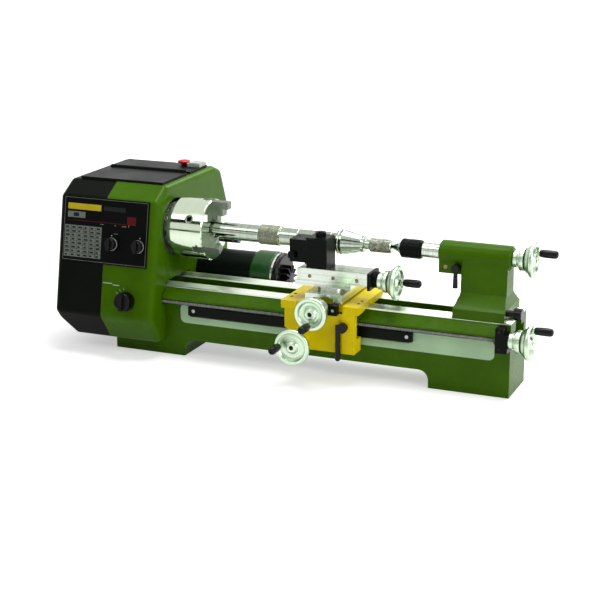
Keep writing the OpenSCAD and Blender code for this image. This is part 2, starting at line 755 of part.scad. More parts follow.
// Square-holed end of the bevel pinion that turns the scroll
module chuck_key_socket() color(steel) datum() rotate([socket_angle - 90, 0, 0])
  translate([socket_x, 0, chuck_d / 2 - 20 + free_gap]) difference() {
    cylinder(h = 19, r = socket_d / 2);
    translate([-4, -4, 6]) cube([8, 8, 14]);
  }

// Jaw with three steps that rise outwards and a rib on each side
module jaw(a) color(silver) datum() rotate([a - 90, 0, 0]) {
  r0 = work_d / 2 + 0.05;
  r1 = chuck_d / 2 - 2;
  step = (r1 - r0) / 3;
  for (k = [0:2])
    block([-jaw_depth, -jaw_w / 2, r0 + k * step - (k > 0 ? 0.5 : 0)],
      [jaw_out * (k + 1) / 3, jaw_w / 2, r0 + (k + 1) * step]);
  block([-12, -jaw_w / 2 - jaw_rib_w / 2, chuck_bore_d / 2 + 4],
    [-12 + jaw_rib_t, jaw_w / 2 + jaw_rib_w / 2, r1]);
}
module jaw_1() jaw(jaw_angles[0]);
module jaw_2() jaw(jaw_angles[1]);
module jaw_3() jaw(jaw_angles[2]);

// Turned workpiece with two knurled bands, a collar and a taper
module workpiece() color(steel) datum() turned_x([
  [0, work_x0], [work_d / 2, work_x0], [work_d / 2, 83], [work_d / 2 + 2, 84], [work_d / 2 + 2, 119],
  [work_d / 2, 120], [work_d / 2, 217], [collar_d / 2 - 1, 218], [collar_d / 2, 219], [collar_d / 2, 228],
  [work_d / 2 - 1, 256], [work_d / 2 - 1, 262], [8, 263], [8, 271],
  [end_band_r, 272], [end_band_r, work_x1 - 1],
  [end_band_r - 1, work_x1], [centre_hole * tan(30), work_x1], [0, work_x1 - centre_hole]
]);

// Grooved cone pulley: one groove for each speed
function pulley_x(k) = pulley_x0 + k * step_pitch;
module cone_pulley(ds, bore_r) turned_x(concat(
  [[bore_r, pulley_x(0)]],
  [for (k = [0:2]) let (r = ds[k] / 2, x = pulley_x(k)) each [
    [r + groove_deep, x], [r + groove_deep, x + 1], [r, x + 1.2], [r, x + step_pitch - 1.2],
    [r + groove_deep, x + step_pitch - 1]
  ]],
  [[ds[2] / 2 + groove_deep, pulley_x(3)], [bore_r, pulley_x(3)]]
));

module spindle_pulley() color(silver) datum() cone_pulley(pulley_ds, spindle_d / 2 - 3 + seat_gap);

module spindle_gear() color(steel) datum()
  gear_x(spindle_teeth, gear_x0, gear_w, to_idler, spindle_d / 2 - 3 + seat_gap);

module idler_gear() color(steel) datum() translate([0, idler_y, idler_z]) difference() {
  gear_x(idler_teeth, gear_x0, gear_w, idler_turn, stud_r + run_gap);
  for (a = [0:60:300]) rotate([a, 0, 0]) translate([0, 0, idler_r * 0.58])
    bar_x(gear_x0 - 1, gear_x0 + gear_w + 1, 8);
}

module feed_gear() color(steel) datum() translate([0, screw_y, screw_z]) {
  gear_x(feed_teeth, gear_x0, gear_w, feed_turn, stud_r - 1);
  bar_x(gear_x0 - 3, frame_x0 + frame_plate_t + feed_shaft_len, stud_r);
}

// Closed loop round two discs a distance d apart, the first of radius r1 at the origin
module belt_loop(r1, r2, d) hull() {
  circle(r = r1, $fn = 72);
  translate([d, 0]) circle(r = r2, $fn = 48);
}

module drive_belt() color([0.1, 0.1, 0.1]) datum() {
  r1 = pulley_ds[belt_pair] / 2 + free_gap;
  r2 = motor_ds[belt_pair] / 2 + free_gap;
  d = norm(motor_axis);
  x0 = pulley_x(belt_pair) + step_pitch / 2 - belt_w / 2;
  along_x(x0, x0 + belt_w) rotate(atan2(motor_axis[1], motor_axis[0])) difference() {
    belt_loop(r1 + belt_t, r2 + belt_t, d);
    belt_loop(r1, r2, d);
  }
}

module motor_pulley() color(silver) datum() translate([0, motor_axis[0], motor_axis[1]]) {
  cone_pulley(motor_ds, motor_shaft_r - 1);
  bar_x(pulley_x(0) - 3, motor_x0 + 20, motor_shaft_r);
}

// Motor with end bell, ring, rear cap and ribbed fan end
module motor() color([0.13, 0.30, 0.17]) datum() translate([0, motor_axis[0], motor_axis[1]]) difference() {
  union() {
    turned_x([
      [0, motor_x0], [motor_d / 2 - 6, motor_x0], [motor_d / 2 - 4, motor_x0 + 2],
      [motor_d / 2 - 4, motor_x1 - 50], [motor_d / 2, motor_x1 - 47], [motor_d / 2, motor_x1 - 13],
      [motor_d / 2 - 3, motor_x1 - 12], [motor_d / 2 - 3, motor_x1 - 9], [motor_d / 2 - 1, motor_x1 - 8],
      [motor_d / 2 - 1, motor_x1 - 4],
      [motor_d / 2 - 5, motor_x1], [0, motor_x1]
    ]);
    for (k = [0:11]) rotate([30 * k, 0, 0]) block([motor_x1 - 1, -1.5, 8], [motor_x1 + 12, 1.5, 22]);
    bar_x(motor_x1 - 1, motor_x1 + 12, 10);
  }
  bar_x(motor_x0 - 1, motor_x0 + 24, motor_shaft_r + run_gap);
}

// Switch box at the back of the top plate, beside the stop button
module estop_box() color([0.72, 0.76, 0.70]) datum() {
  x0 = lid_x1 - 23;
  x1 = lid_x1 - 0.5;
  block([x0, plate_y1 - 26, lid_z + lid_t], [x1, plate_y1 - 2, lid_z + lid_t + 5]);
  block([x0 + 1, plate_y1 - 25, lid_z + lid_t + 4], [x1 - 1, plate_y1 - 3, lid_z + lid_t + 6.5]);
}
estop_x = lid_x1 - 36;
estop_y = plate_y1 - 14;
estop_r = 11;

module estop_button() color("red") datum() translate([estop_x, estop_y, lid_z + lid_t]) {
  translate([0, 0, -2.5]) cylinder(h = 8, r = 5);
  translate([0, 0, 4.6]) rotate_extrude() polygon([
    [0, 0], [estop_r - 1, 0], [estop_r, 1], [estop_r, 2], [estop_r - 1.5, 3.4], [estop_r - 5, 4.3], [0, 4.6]
  ]);
}

module power_inlet() color(dark) datum() difference() {
  block([-120, head_back, -140], [-92, head_back + 6, -112]);
  block([-116, head_back + 1, -136], [-96, head_back + 7, -116]);
}

module leadscrew_bracket() color(dark) datum() difference() {
  union() {
    block([bracket_x0, screw_y - 12, screw_z - 18], [bracket_x1, -half_bed, way_z - 2.5]);
    block([bracket_x1, screw_y - 12, screw_z - 18], [bed_x1, -half_bed, way_z - 12]);
  }
  translate([0, screw_y, screw_z]) bar_x(bracket_x0 - 1, bed_x1 + 1, screw_d / 2 - 1 + run_gap);
  for (z = [screw_z - 13, screw_z + 15]) translate([bracket_x0 + 6, 0, z])
    bar_y(screw_y - 13, screw_y - 9, 2.6);
}

module leadscrew() color(silver) datum() translate([0, screw_y, screw_z]) turned_x([
  [0, leadscrew_x0 - 26], [screw_d / 2 - 2, leadscrew_x0 - 26], [screw_d / 2 - 1, leadscrew_x0 - 25],
  [screw_d / 2 - 1, leadscrew_x0 - 4], [screw_d / 2, leadscrew_x0 - 3], [screw_d / 2, bracket_x0 - 1],
  [screw_d / 2 - 1, bracket_x0 - free_gap], [screw_d / 2 - 1, bed_x1 + free_gap], [0, bed_x1 + free_gap]
]);

module screw_wheel_place() datum() translate([bed_x1 + free_gap, screw_y, screw_z]) rotate([0, 90, 0])
  children();
module leadscrew_wheel() color(silver) screw_wheel_place() handwheel(end_wheel_d, screw_reach, screw_pin);
module leadscrew_grip() color(dark) screw_wheel_place() grip(end_wheel_d, screw_reach, screw_pin);

// Saddle: two wings over the ways and a bridge with the dovetail
module saddle() color(yellow) datum() difference() {
  union() {
    for (x = [carriage_x, saddle_x1 - wing_w]) along_x(x, x + wing_w) saddle_section();
    along_x(carriage_x + wing_w - 1, saddle_x1 - wing_w + 1) bridge_section();
    block([cross_x - dovetail_w / 2 + 2, saddle_front + 6, saddle_top - 1],
      [cross_x + dovetail_w / 2 - 2, saddle_back - 4, dovetail_z]);
    translate([cross_x, 0, dovetail_z]) rotate([90, 0, 0]) translate([0, 0, -saddle_back + 4])
      linear_extrude(saddle_back - saddle_front - 10) dovetail(0);
  }
  translate([cross_x, 0, cross_screw_z]) bar_y(saddle_front - 1, saddle_back - 8, cross_screw_r + run_gap);
  for (x = [carriage_x + 8, saddle_x1 - 8], y = [-58, -half_bed + 3]) translate([x, y, saddle_top - 2])
    cylinder(h = 3, d = 6);
}

// Male dovetail, dovetail_h high, widest at its top
module dovetail(gap) polygon([
  [-dovetail_w / 2 + 2 - gap, -1], [-dovetail_w / 2 + 2 - gap, 0], [-dovetail_w / 2 - gap, dovetail_h + gap],
  [dovetail_w / 2 + gap, dovetail_h + gap], [dovetail_w / 2 - 2 + gap, 0], [dovetail_w / 2 - 2 + gap, -1]
]);

module saddle_section() difference() {
  polygon([
    [saddle_front, saddle_top], [saddle_back, saddle_top], [saddle_back, way_z + slide_gap],
    [-half_bed, way_z + slide_gap], [-half_bed - lip_reach - 3, way_z - 2 - slide_gap],
    [saddle_front, way_z - 2 - slide_gap]
  ]);
  way_seat(slide_gap);
}

module bridge_section() difference() {
  translate([saddle_front + 4, way_z + slide_gap])
    square([saddle_back - saddle_front - 4, saddle_top - way_z - slide_gap]);
  way_seat(slide_gap);
}

// Apron: a plate with a raised right column, a lower flange and bearing bosses
module apron() color(yellow) datum() difference() {
  union() {
    translate([0, apron_y1, 0]) rotate([90, 0, 0]) linear_extrude(apron_t) polygon([
      [apron_x0, way_z - 2.2], [apron_x0, screw_z - 10], [apron_x0 + 40, apron_bottom],
        [apron_x1, apron_bottom],
      [apron_x1, way_z - 2.2]
    ]);
    block([apron_x1 - 21, apron_y0 - 2, apron_bottom], [apron_x1, apron_y0 + 1, way_z - 2.2]);
    block([apron_x0 + 40, apron_y0, apron_bottom], [apron_x1, -half_bed - 8, apron_bottom + 6]);
    block([apron_x1 - 7, apron_y0, apron_bottom], [apron_x1, -half_bed - 8, apron_bottom + 22]);
    translate([pinion_x, 0, pinion_z]) bar_y(apron_y0 - boss_t, apron_y1, 13);
    translate([pinion_x, 0, pinion_z]) bar_y(apron_y1 - 1, -half_bed - rack_t - 8, 8);
    for (z = [screw_z - 9.5, screw_z + nut_top + free_gap])
      block([lever_x - 14, apron_y1 - 1, z], [lever_x + 14, -half_bed - lip_reach - 1, z + 1.5]);
  }
  translate([pinion_x, 0, pinion_z]) bar_y(apron_y0 - 5, -half_bed, shaft_r + run_gap);
  translate([lever_x, 0, lever_z]) bar_y(apron_y0 - 5, apron_y1 + 1, shaft_r + run_gap);
}

module half_nut_lever() color(dark) datum() {
  translate([lever_x, 0, lever_z]) {
    bar_y(apron_y0 - 10, apron_y0 - 2 - slide_gap, 8);
    bar_y(apron_y0 - 3, apron_y1 - free_gap, shaft_r);
    block([-10, apron_y0 - 10, -4], [0, apron_y0 - 4, 4]);
    translate([-7, apron_y0 - 7, -50]) cylinder(h = 52, d1 = 8.5, d2 = 7);
    translate([-7, apron_y0 - 7, -50]) sphere(d = 8.5);
  }
}

// Half nut in its open place, in front of the leadscrew
nut_open = 3;
nut_top = 3.5;
module half_nut() color([0.75, 0.6, 0.3]) datum() difference() {
  block([lever_x - 10, apron_y1 + free_gap, screw_z - 7.7],
    [lever_x + 10, screw_y - nut_open, screw_z + nut_top]);
  translate([0, screw_y - nut_open, screw_z]) bar_x(lever_x - 11, lever_x + 11, screw_d / 2 + free_gap);
}

module cross_bracket() color(dark) datum() difference() {
  block([cross_x - 16, saddle_front - bracket_t, way_z - 3], [cross_x + 26, saddle_front, cross_z0 - 0.5]);
  translate([cross_x, 0, cross_screw_z])
    bar_y(saddle_front - bracket_t - 1, saddle_front + 1, cross_screw_r + run_gap);
  for (x = [cross_x - 11, cross_x + 19]) translate([x, 0, cross_screw_z - 4])
    bar_y(saddle_front - bracket_t - 1, saddle_front - bracket_t + 3, 2.6);
}

module carriage_wheel_place() datum() translate([pinion_x, carriage_wheel_y, pinion_z]) rotate([90, 0, 0])
  children();
module carriage_wheel() color(silver) carriage_wheel_place()
  handwheel(wheel_d, carriage_reach, carriage_pin);
module carriage_grip() color(dark) carriage_wheel_place() grip(wheel_d, carriage_reach, carriage_pin);
module carriage_pinion() color(steel) datum() translate([pinion_x, 0, pinion_z]) {
  bar_y(carriage_wheel_y, -half_bed - 3, shaft_r);
  translate([0, -half_bed - 0.5, 0]) rotate([90, 0, 0]) gear(pinion_teeth, tooth_m, rack_t + 1, 90);
}

module cross_wheel_place() datum() translate([cross_x, cross_wheel_y, cross_screw_z]) rotate([90, 0, 0])
  children();
module cross_wheel() color(silver) {
  cross_wheel_place() handwheel(cross_wheel_d, cross_reach, cross_pin);
  datum() translate([cross_x, 0, cross_screw_z])
    bar_y(saddle_front - bracket_t - 1, saddle_back - 9, cross_screw_r);
}
module cross_grip() color(dark) cross_wheel_place() grip(cross_wheel_d, cross_reach, cross_pin);

module cross_slide() color(silver) datum() difference() {
  block([cross_x - cross_w / 2, cross_y0, cross_z0],
    [cross_x + cross_w / 2, cross_y0 + cross_len, cross_z1]);
  translate([cross_x, 0, dovetail_z]) rotate([90, 0, 0]) translate([0, 0, -cross_y0 - cross_len - 1])
    linear_extrude(cross_len + 2) dovetail(slide_gap);
  for (side = [-1, 1]) translate([cross_x + side * 21, 0, 0]) {
    block([-2.5, 5, cross_z1 - 5], [2.5, cross_y0 + cross_len + 1, cross_z1 + 1]);
    block([-4.5, 5, cross_z1 - 5.5], [4.5, cross_y0 + cross_len + 1, cross_z1 - 2.5]);
  }
}

module compound_base() color(silver) datum() {
  y0 = swivel_y - compound_w / 2;
  difference() {
    union() {
      translate([cross_x, swivel_y, cross_z1 + 0.05]) cylinder(h = swivel_t, d = swivel_d);
      block([compound_x0 - 9, y0, base_z0], [base_x1, y0 + compound_w, base_z1 - 0.05]);
      translate([0, swivel_y, base_z1 - 0.05]) rotate([90, 0, 90]) translate([0, 0, compound_x0 - 9])
        linear_extrude(base_x1 - compound_x0 + 9) compound_dovetail(0);
    }
    translate([0, swivel_y, compound_screw_z]) bar_x(compound_x0 - 10, compound_x1, 4.4);
  }
}
module compound_dovetail(gap) polygon([
  [-gib_foot - gap, -1], [-gib_foot - gap, 0], [-gib_top - gap, gib_h + gap], [gib_top + gap, gib_h + gap],
  [gib_foot + gap, 0], [gib_foot + gap, -1]
]);

module compound_slide() color(silver) datum() {
  y0 = swivel_y - compound_w / 2;
  difference() {
    union() {
      block([compound_x0, y0, base_z1 + slide_gap / 2], [compound_x1, y0 + compound_w, slide_z1]);
      block([compound_x0 - 6, y0 + 1, base_z1 + slide_gap / 2],
        [compound_x0 + 1, y0 + compound_w - 1, slide_z1 - 2]);
    }
    translate([0, swivel_y, base_z1 - 0.05]) rotate([90, 0, 90]) translate([0, 0, compound_x0 - 7])
      linear_extrude(compound_len + 8) compound_dovetail(slide_gap);
    for (k = [0:2]) translate([compound_x0 + 16 + 39 * k, 0, base_z1 + 8]) bar_y(y0 - 1, y0 + 3, 3);
  }
}

module compound_bracket() color(dark) datum() difference() {
  y0 = swivel_y - compound_w / 2;
  union() {
    block([compound_x1, y0 - 1, base_z0 + 2], [compound_x1 + 5, y0 + compound_w + 1, slide_z1 + 1]);
    translate([0, swivel_y, compound_screw_z + 2]) bar_x(compound_x1, compound_x1 + 12, 13);
  }
  translate([0, swivel_y, compound_screw_z]) bar_x(compound_x1 - 1, compound_x1 + 13, 4 + run_gap);
}

module compound_wheel_place() datum()
  translate([compound_x1 + 12 + slide_gap, swivel_y, compound_screw_z]) rotate([0, 90, 0]) children();
module compound_wheel() color(silver) {
  compound_wheel_place() handwheel(end_wheel_d, compound_reach, compound_pin);
  datum() translate([0, swivel_y, compound_screw_z]) bar_x(compound_x0 + 30, compound_x1 + 13, 4);
}
module compound_grip() color(dark) compound_wheel_place() grip(end_wheel_d, compound_reach, compound_pin);

// Quick-change post with a clamping bolt and nut
module tool_post() color(dark) datum() {
  y0 = swivel_y - post_d / 2;
  block([post_x0 + 10, y0, slide_z1], [post_x0 + post_w, y0 + post_d, slide_z1 + post_h - 4]);
  block([post_x0 + 11, y0 + 1, slide_z1 + post_h - 5],
    [post_x0 + post_w - 1, y0 + post_d - 1, slide_z1 + post_h - 2]);
  block([post_x0 + 4, y0 + 8, slide_z1 + 4], [post_x0 + 11, y0 + post_d - 8, slide_z1 + post_h - 8]);
  translate([post_x0 + post_w / 2 + 5, swivel_y, slide_z1]) cylinder(h = post_h + 6, r = 5);
  translate([post_x0 + post_w / 2 + 5, swivel_y, slide_z1 + post_h - 2]) cylinder(h = 7, r = 9, $fn = 6);
}

// Tool holder on the post's left face, with the turning tool in its slot
module tool_holder() color([0.1, 0.11, 0.1]) datum() {
  y0 = swivel_y - post_d / 2;
  x1 = post_x0 + 4 - 0.05;
  z1 = slide_z1 + post_h - 6;
  difference() {
    union() {
      block([x1 - holder_w, y0, slide_z1 + 8], [x1, y0 + post_d, z1]);
      block([x1 - 1, y0, slide_z1 + 8], [x1 + 6, y0 + 7, z1]);
      block([x1 - 1, y0 + post_d - 7, slide_z1 + 8], [x1 + 6, y0 + post_d, z1]);
    }
    block([x1 - holder_w - 1, y0 - 1, slide_z1 + 15], [x1 - 9, y0 + post_d + 1, slide_z1 + 15 + tool_slot]);
    for (k = [0:1]) translate([x1 - holder_w + 6, y0 + 9 + 16 * k, z1 - 16]) cylinder(h = 20, r = 3);
  }
  for (k = [0:1]) translate([x1 - holder_w + 6, y0 + 9 + 16 * k, slide_z1 + 15 + tool_slot - 0.5])
    cylinder(h = 20, r = 3);
  block([x1 - holder_w - 0.5, y0 - 6, slide_z1 + 15.05],
    [x1 - holder_w + 9, y0 + post_d + 3, slide_z1 + 15 + tool_slot - 0.5]);
}

// Tailstock casting: barrel, nose clamp and a waisted pedestal on a broad base
module tailstock() color(green) datum() difference() {
  union() {
    turned_x([
      [0, tail_x], [barrel_d / 2 - 3, tail_x], [barrel_d / 2, tail_x + 3], [barrel_d / 2, barrel_x1 - 3],
      [barrel_d / 2 - 3, barrel_x1], [0, barrel_x1]
    ]);
    block([tail_x + 1, -nose_y, lock_z - 11], [tail_base_x0 + 6, nose_y, 0]);
    intersection() {
      translate([0, half_bed, 0]) rotate([90, 0, 0]) linear_extrude(bed_w) polygon([
        [tail_base_x0 + 5, 0], [tail_base_x0 + 5, ridge_z + 26], [tail_base_x0, tail_base_z + 1],
        [tail_base_x0, way_z + slide_gap], [tail_base_x1, way_z + slide_gap],
          [tail_base_x1, tail_base_z + 1],
        [tail_base_x1 - 4, ridge_z + 26], [tail_base_x1 - 4, 0]
      ]);
      along_x(tail_base_x0 - 1, tail_base_x1 + 1) polygon([
        [-barrel_d / 2 + 2, 0], [-barrel_d / 2 - 1, ridge_z + 30], [-half_bed + 8, tail_base_z + 4],
        [-half_bed + 1, tail_base_z], [-half_bed + 1, way_z + slide_gap], [half_bed - 1, way_z + slide_gap],
        [half_bed - 1, tail_base_z], [half_bed - 8, tail_base_z + 4], [barrel_d / 2 + 1, ridge_z + 30],
        [barrel_d / 2 - 2, 0]
      ]);
    }
  }
  along_x(tail_base_x0 - 1, tail_base_x1 + 1) way_seat(slide_gap);
  bar_x(tail_x - 1, barrel_x1 - back_wall, quill_d / 2 + run_gap);
  bar_x(barrel_x1 - back_wall - 1, barrel_x1 + 1, tail_screw_r + run_gap);
  translate([lock_x, 0, lock_z]) bar_y(-nose_y - 1, nose_y + 1, 4 + run_gap);
  translate([0, clamp_y, clamp_z]) bar_x(tail_base_x1 - 18, tail_base_x1 + 1, 5 + run_gap);
}

// Plate under the ways, with its bolt up into the casting
module tailstock_clamp_plate() color(steel) datum() {
  z1 = way_z - way_t - slide_gap;
  block([tail_base_x0 + 12, -trough_half + 2, z1 - clamp_plate_t], [tail_base_x1 - 22, trough_half - 2, z1]);
  translate([(tail_base_x0 + tail_base_x1) / 2 - 4, 0, z1 - 1])
    cylinder(h = way_z + slide_gap - z1 + 1, r = clamp_bolt_r);
}

module quill() color(silver) datum() difference() {
  turned_x([
    [0, quill_x0 - 16], [6, quill_x0 - 16], [6, quill_x0 - free_gap], [quill_d / 2 - 1, quill_x0 - free_gap],
    [quill_d / 2, quill_x0 + 1], [quill_d / 2, quill_x1], [0, quill_x1]
  ]);
  bar_x(quill_x0 + 40, quill_x1 + 1, tail_screw_r + free_gap);
}

module live_centre() color(dark) datum() difference() {
  turned_x([
    [0, point_x], [(centre_x0 - point_x) * tan(30), centre_x0], [centre_d / 2 - 2, centre_x0],
    [centre_d / 2, centre_x0 + 2], [centre_d / 2, quill_x0 - 3], [centre_d / 2 - 2, quill_x0 - 2 * free_gap],
    [0, quill_x0 - 2 * free_gap]
  ]);
  bar_x(quill_x0 - 16 - free_gap, quill_x0 + 1, 6 + run_gap);
}

module tail_wheel_place() datum() translate([barrel_x1 + slide_gap, 0, 0]) rotate([0, 90, 0]) children();
module tail_wheel() color(silver) {
  tail_wheel_place() handwheel(end_wheel_d, tail_reach, tail_pin);
  datum() bar_x(quill_x1 - 30, barrel_x1 + 1, tail_screw_r);
}
module tail_grip() color(dark) tail_wheel_place() grip(end_wheel_d, tail_reach, tail_pin);

module quill_lock() color(dark) datum() translate([lock_x, 0, lock_z]) {
  bar_y(-nose_y - 2, 10, 4);
  bar_y(-nose_y - lever_out - 4, -nose_y - slide_gap, 6);
  translate([0, -nose_y - lever_out, -30]) cylinder(h = 28, d1 = 8, d2 = 6);
}

module tail_clamp() color(dark) datum() translate([0, clamp_y, clamp_z]) {
  bar_x(tail_base_x1 - 16, tail_base_x1 + 13, 5);
  difference() {
    bar_x(tail_base_x1 + 12, tail_base_x1 + 24, 9.5);
    for (a = [0:45:315]) rotate([a, 0, 0]) translate([0, 0, 11])
      bar_x(tail_base_x1 + 11, tail_base_x1 + 25, 2.6);
  }
}

bed();
front_trim();
rack();
headstock_casing();
end_cover();
top_plate();
control_panel();
headstock_frame();
spindle_bearings();
motor();
estop_box();
leadscrew_bracket();
drive_belt();
power_inlet();
spindle();
chuck_body();
spindle_pulley();
spindle_gear();
workpiece();
chuck_key_socket();
jaw_1();
jaw_2();
jaw_3();
motor_pulley();
idler_gear();
feed_gear();
leadscrew();
leadscrew_wheel();
leadscrew_grip();
belt_lid();
estop_button();
main_switch();
direction_switch();
feed_knob();
saddle();
apron();
cross_bracket();
carriage_wheel();
carriage_pinion();
carriage_grip();
half_nut_lever();
half_nut();
cross_slide();
cross_wheel();
cross_grip();
compound_base();
compound_slide();
compound_bracket();
compound_wheel();
compound_grip();
tool_post();
tool_holder();
tailstock();
tailstock_clamp_plate();
quill();
live_centre();
tail_wheel();
tail_grip();
quill_lock();
tail_clamp();
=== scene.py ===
"""Looks of a bench lathe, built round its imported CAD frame.

Each sub-assembly is a class that holds its own sizes and builds its pieces as surfaces worked out with numpy.
Finishes are small frozen classes that build procedural node materials. Places are in millimetres from the
chuck's front face on the spindle axis, and ``to_row`` turns them into the row frame in metres.
"""

import json
import logging
import math
from dataclasses import dataclass
from enum import Enum
from typing import Any, Sequence

import bpy
import numpy as np
from mathutils import Matrix, Vector

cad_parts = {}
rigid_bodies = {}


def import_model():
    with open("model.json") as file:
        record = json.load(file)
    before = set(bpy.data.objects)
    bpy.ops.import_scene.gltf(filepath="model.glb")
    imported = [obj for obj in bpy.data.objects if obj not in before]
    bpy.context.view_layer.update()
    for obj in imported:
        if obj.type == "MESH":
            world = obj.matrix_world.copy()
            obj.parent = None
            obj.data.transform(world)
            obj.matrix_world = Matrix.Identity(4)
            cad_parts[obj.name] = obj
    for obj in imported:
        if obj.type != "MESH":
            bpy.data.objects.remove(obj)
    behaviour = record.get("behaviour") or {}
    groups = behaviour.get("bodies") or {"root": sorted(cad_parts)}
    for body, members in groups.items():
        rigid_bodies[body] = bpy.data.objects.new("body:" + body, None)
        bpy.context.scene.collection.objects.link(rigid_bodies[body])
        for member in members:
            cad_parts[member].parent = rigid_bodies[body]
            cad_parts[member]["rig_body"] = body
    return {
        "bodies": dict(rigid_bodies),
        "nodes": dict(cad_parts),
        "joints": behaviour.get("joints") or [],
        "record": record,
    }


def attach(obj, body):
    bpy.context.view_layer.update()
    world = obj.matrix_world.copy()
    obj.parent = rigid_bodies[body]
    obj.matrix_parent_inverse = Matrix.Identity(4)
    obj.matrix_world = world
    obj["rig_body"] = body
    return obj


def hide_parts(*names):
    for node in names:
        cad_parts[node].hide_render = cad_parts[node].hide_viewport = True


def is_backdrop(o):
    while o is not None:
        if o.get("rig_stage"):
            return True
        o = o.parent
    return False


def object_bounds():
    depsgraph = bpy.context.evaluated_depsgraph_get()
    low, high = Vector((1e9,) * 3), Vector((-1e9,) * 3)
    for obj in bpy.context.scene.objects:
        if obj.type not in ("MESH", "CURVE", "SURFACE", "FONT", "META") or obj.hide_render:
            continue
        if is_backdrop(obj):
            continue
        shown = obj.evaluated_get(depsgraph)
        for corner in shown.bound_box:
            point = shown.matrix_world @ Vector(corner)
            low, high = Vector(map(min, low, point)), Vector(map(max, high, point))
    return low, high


LOG = logging.getLogger("lathe")
Array = np.ndarray
Point = tuple[float, float, float]
Box = tuple[float, float, float, float]
Colour = tuple[float, float, float, float]
Node = bpy.types.Node
Socket = bpy.types.NodeSocket
Tree = bpy.types.NodeTree

CHUCK_FACE_X = 173.0
SPINDLE_HEIGHT = 207.0
DATUM = np.array([-CHUCK_FACE_X, 0.0, SPINDLE_HEIGHT])
MM_PER_M = 1000.0
SMOOTH_LIMIT = math.radians(34)
MERGES_PER_M = 1e6
HEAD_STEPS = 24
THREAD_RINGS = 5
KNURL_RINGS = 6
KNURL_FADE = 0.6
KNURL_SLANT = 1.4
MARK_DEPTH = 0.05
MARK_WIDTH = 0.35


def to_row(points: Array) -> Array:
    """Moves places (n, 3) from the lathe's datum in millimetres into the row frame in metres."""
    return (np.asarray(points, float) + DATUM) / MM_PER_M


# --- Surfaces ---


@dataclass(frozen=True)
class Placement:
    """Where a surface stands: its own axes a, u and v, and its origin, as vectors of the lathe's datum.

    A surface's own point (a, u, v) goes to origin + a * along + u * side + v * up.
    """

    origin: Point = (0.0, 0.0, 0.0)
    along: Point = (1.0, 0.0, 0.0)
    side: Point = (0.0, 1.0, 0.0)
    up: Point = (0.0, 0.0, 1.0)

    def apply(self, points: Array) -> Array:
        """Carries own points, shape (n, 3), into the datum."""
        return points @ np.array([self.along, self.side, self.up], float) + np.array(self.origin, float)

    def at(self, origin: Point) -> "Placement":
        """The same axes at another origin in the datum."""
        return Placement(origin, self.along, self.side, self.up)


ALONG_X = Placement()
ALONG_Z = Placement(along=(0, 0, 1), side=(1, 0, 0), up=(0, 1, 0))
END_WHEEL = Placement(along=(1, 0, 0), side=(0, 0, -1), up=(0, 1, 0))
FRONT_WHEEL = Placement(along=(0, -1, 0), side=(1, 0, 0), up=(0, 0, 1))


@dataclass(frozen=True)
class Surface:
    """Points and the faces over them, in millimetres. Each table of faces has one face per row."""

    points: Array
    faces: tuple[Array, ...]

    def placed(self, placement: Placement) -> "Surface":
        """The surface carried into the datum."""
        return Surface(placement.apply(self.points), self.faces)

    def moved(self, offset: Point) -> "Surface":
        """The surface shifted along each axis."""
        return Surface(self.points + np.array(offset, float), self.faces)


def join(parts: Sequence[Surface]) -> Surface:
    """Puts several surfaces into one.

    Args:
        parts: the surfaces.

    Returns:
        One surface with every point and face.
    """
    starts = np.cumsum([0] + [len(p.points) for p in parts[:-1]])
    faces = tuple(table + start for p, start in zip(parts, starts) for table in p.faces)
    return Surface(np.concatenate([p.points for p in parts]), faces)


def copies(shape: Surface, places: Sequence[Placement]) -> Surface:
    """One surface set at several places."""
    return join([shape.placed(p) for p in places])


def grid_faces(rows: int, cols: int, loop: bool = False) -> Array:
    """Quads over rings of points that are stored one after another.

    Face (i, j) joins point j of ring i to its neighbours in the next column and the next ring.

    Args:
        rows: number of rings.
        cols: number of points in a ring.
        loop: whether the last ring joins the first.

    Returns:
        Four point numbers for each quad.
    """
    i = np.arange(rows if loop else rows - 1)[:, None] * cols
    j = np.arange(cols)[None, :]
    below, right = (i + cols) % (rows * cols), (j + 1) % cols
    return np.stack([i + j, i + right, below + right, below + j], -1).reshape(-1, 4)


def fan(pole: int, first: int, steps: int, low: bool) -> Array:
    """Triangles from a pole to a ring of points.

    Args:
        pole: number of the pole.
        first: number of the ring's first point.
        steps: points in the ring.
        low: whether the pole lies at the low end of the axis, where the faces turn the other way.

    Returns:
        Three point numbers for each triangle.
    """
    here = np.arange(steps)
    after = (here + 1) % steps
    pair = (after, here) if low else (here, after)
    return np.stack([np.full(steps, pole), first + pair[0], first + pair[1]], -1)


def angles(steps: int) -> Array:
    """Equal steps round one turn."""
    return np.linspace(0, 2 * np.pi, steps, endpoint=False)


def wound(a: Array, r: Array, t: Array) -> Array:
    """Points (a, r cos t, r sin t) in rings about the own axis a, shape (n, 3)."""
    return np.stack(np.broadcast_arrays(a, r * np.cos(t), r * np.sin(t)), -1).reshape(-1, 3)


def capped(points: Array, steps: int, low: float, high: float) -> Surface:
    """Rings of points closed by a pole at both ends.

    Args:
        points: the rings' points, shape (n, 3).
        steps: points in a ring.
        low: the first pole's place on the own axis a.
        high: the last pole's place on it.

    Returns:
        The closed surface.
    """
    count = len(points)
    ends = (fan(count, 0, steps, True), fan(count + 1, count - steps, steps, False))
    faces = (grid_faces(count // steps, steps),) + ends
    return Surface(np.vstack([points, [low, 0, 0], [high, 0, 0]]), faces)


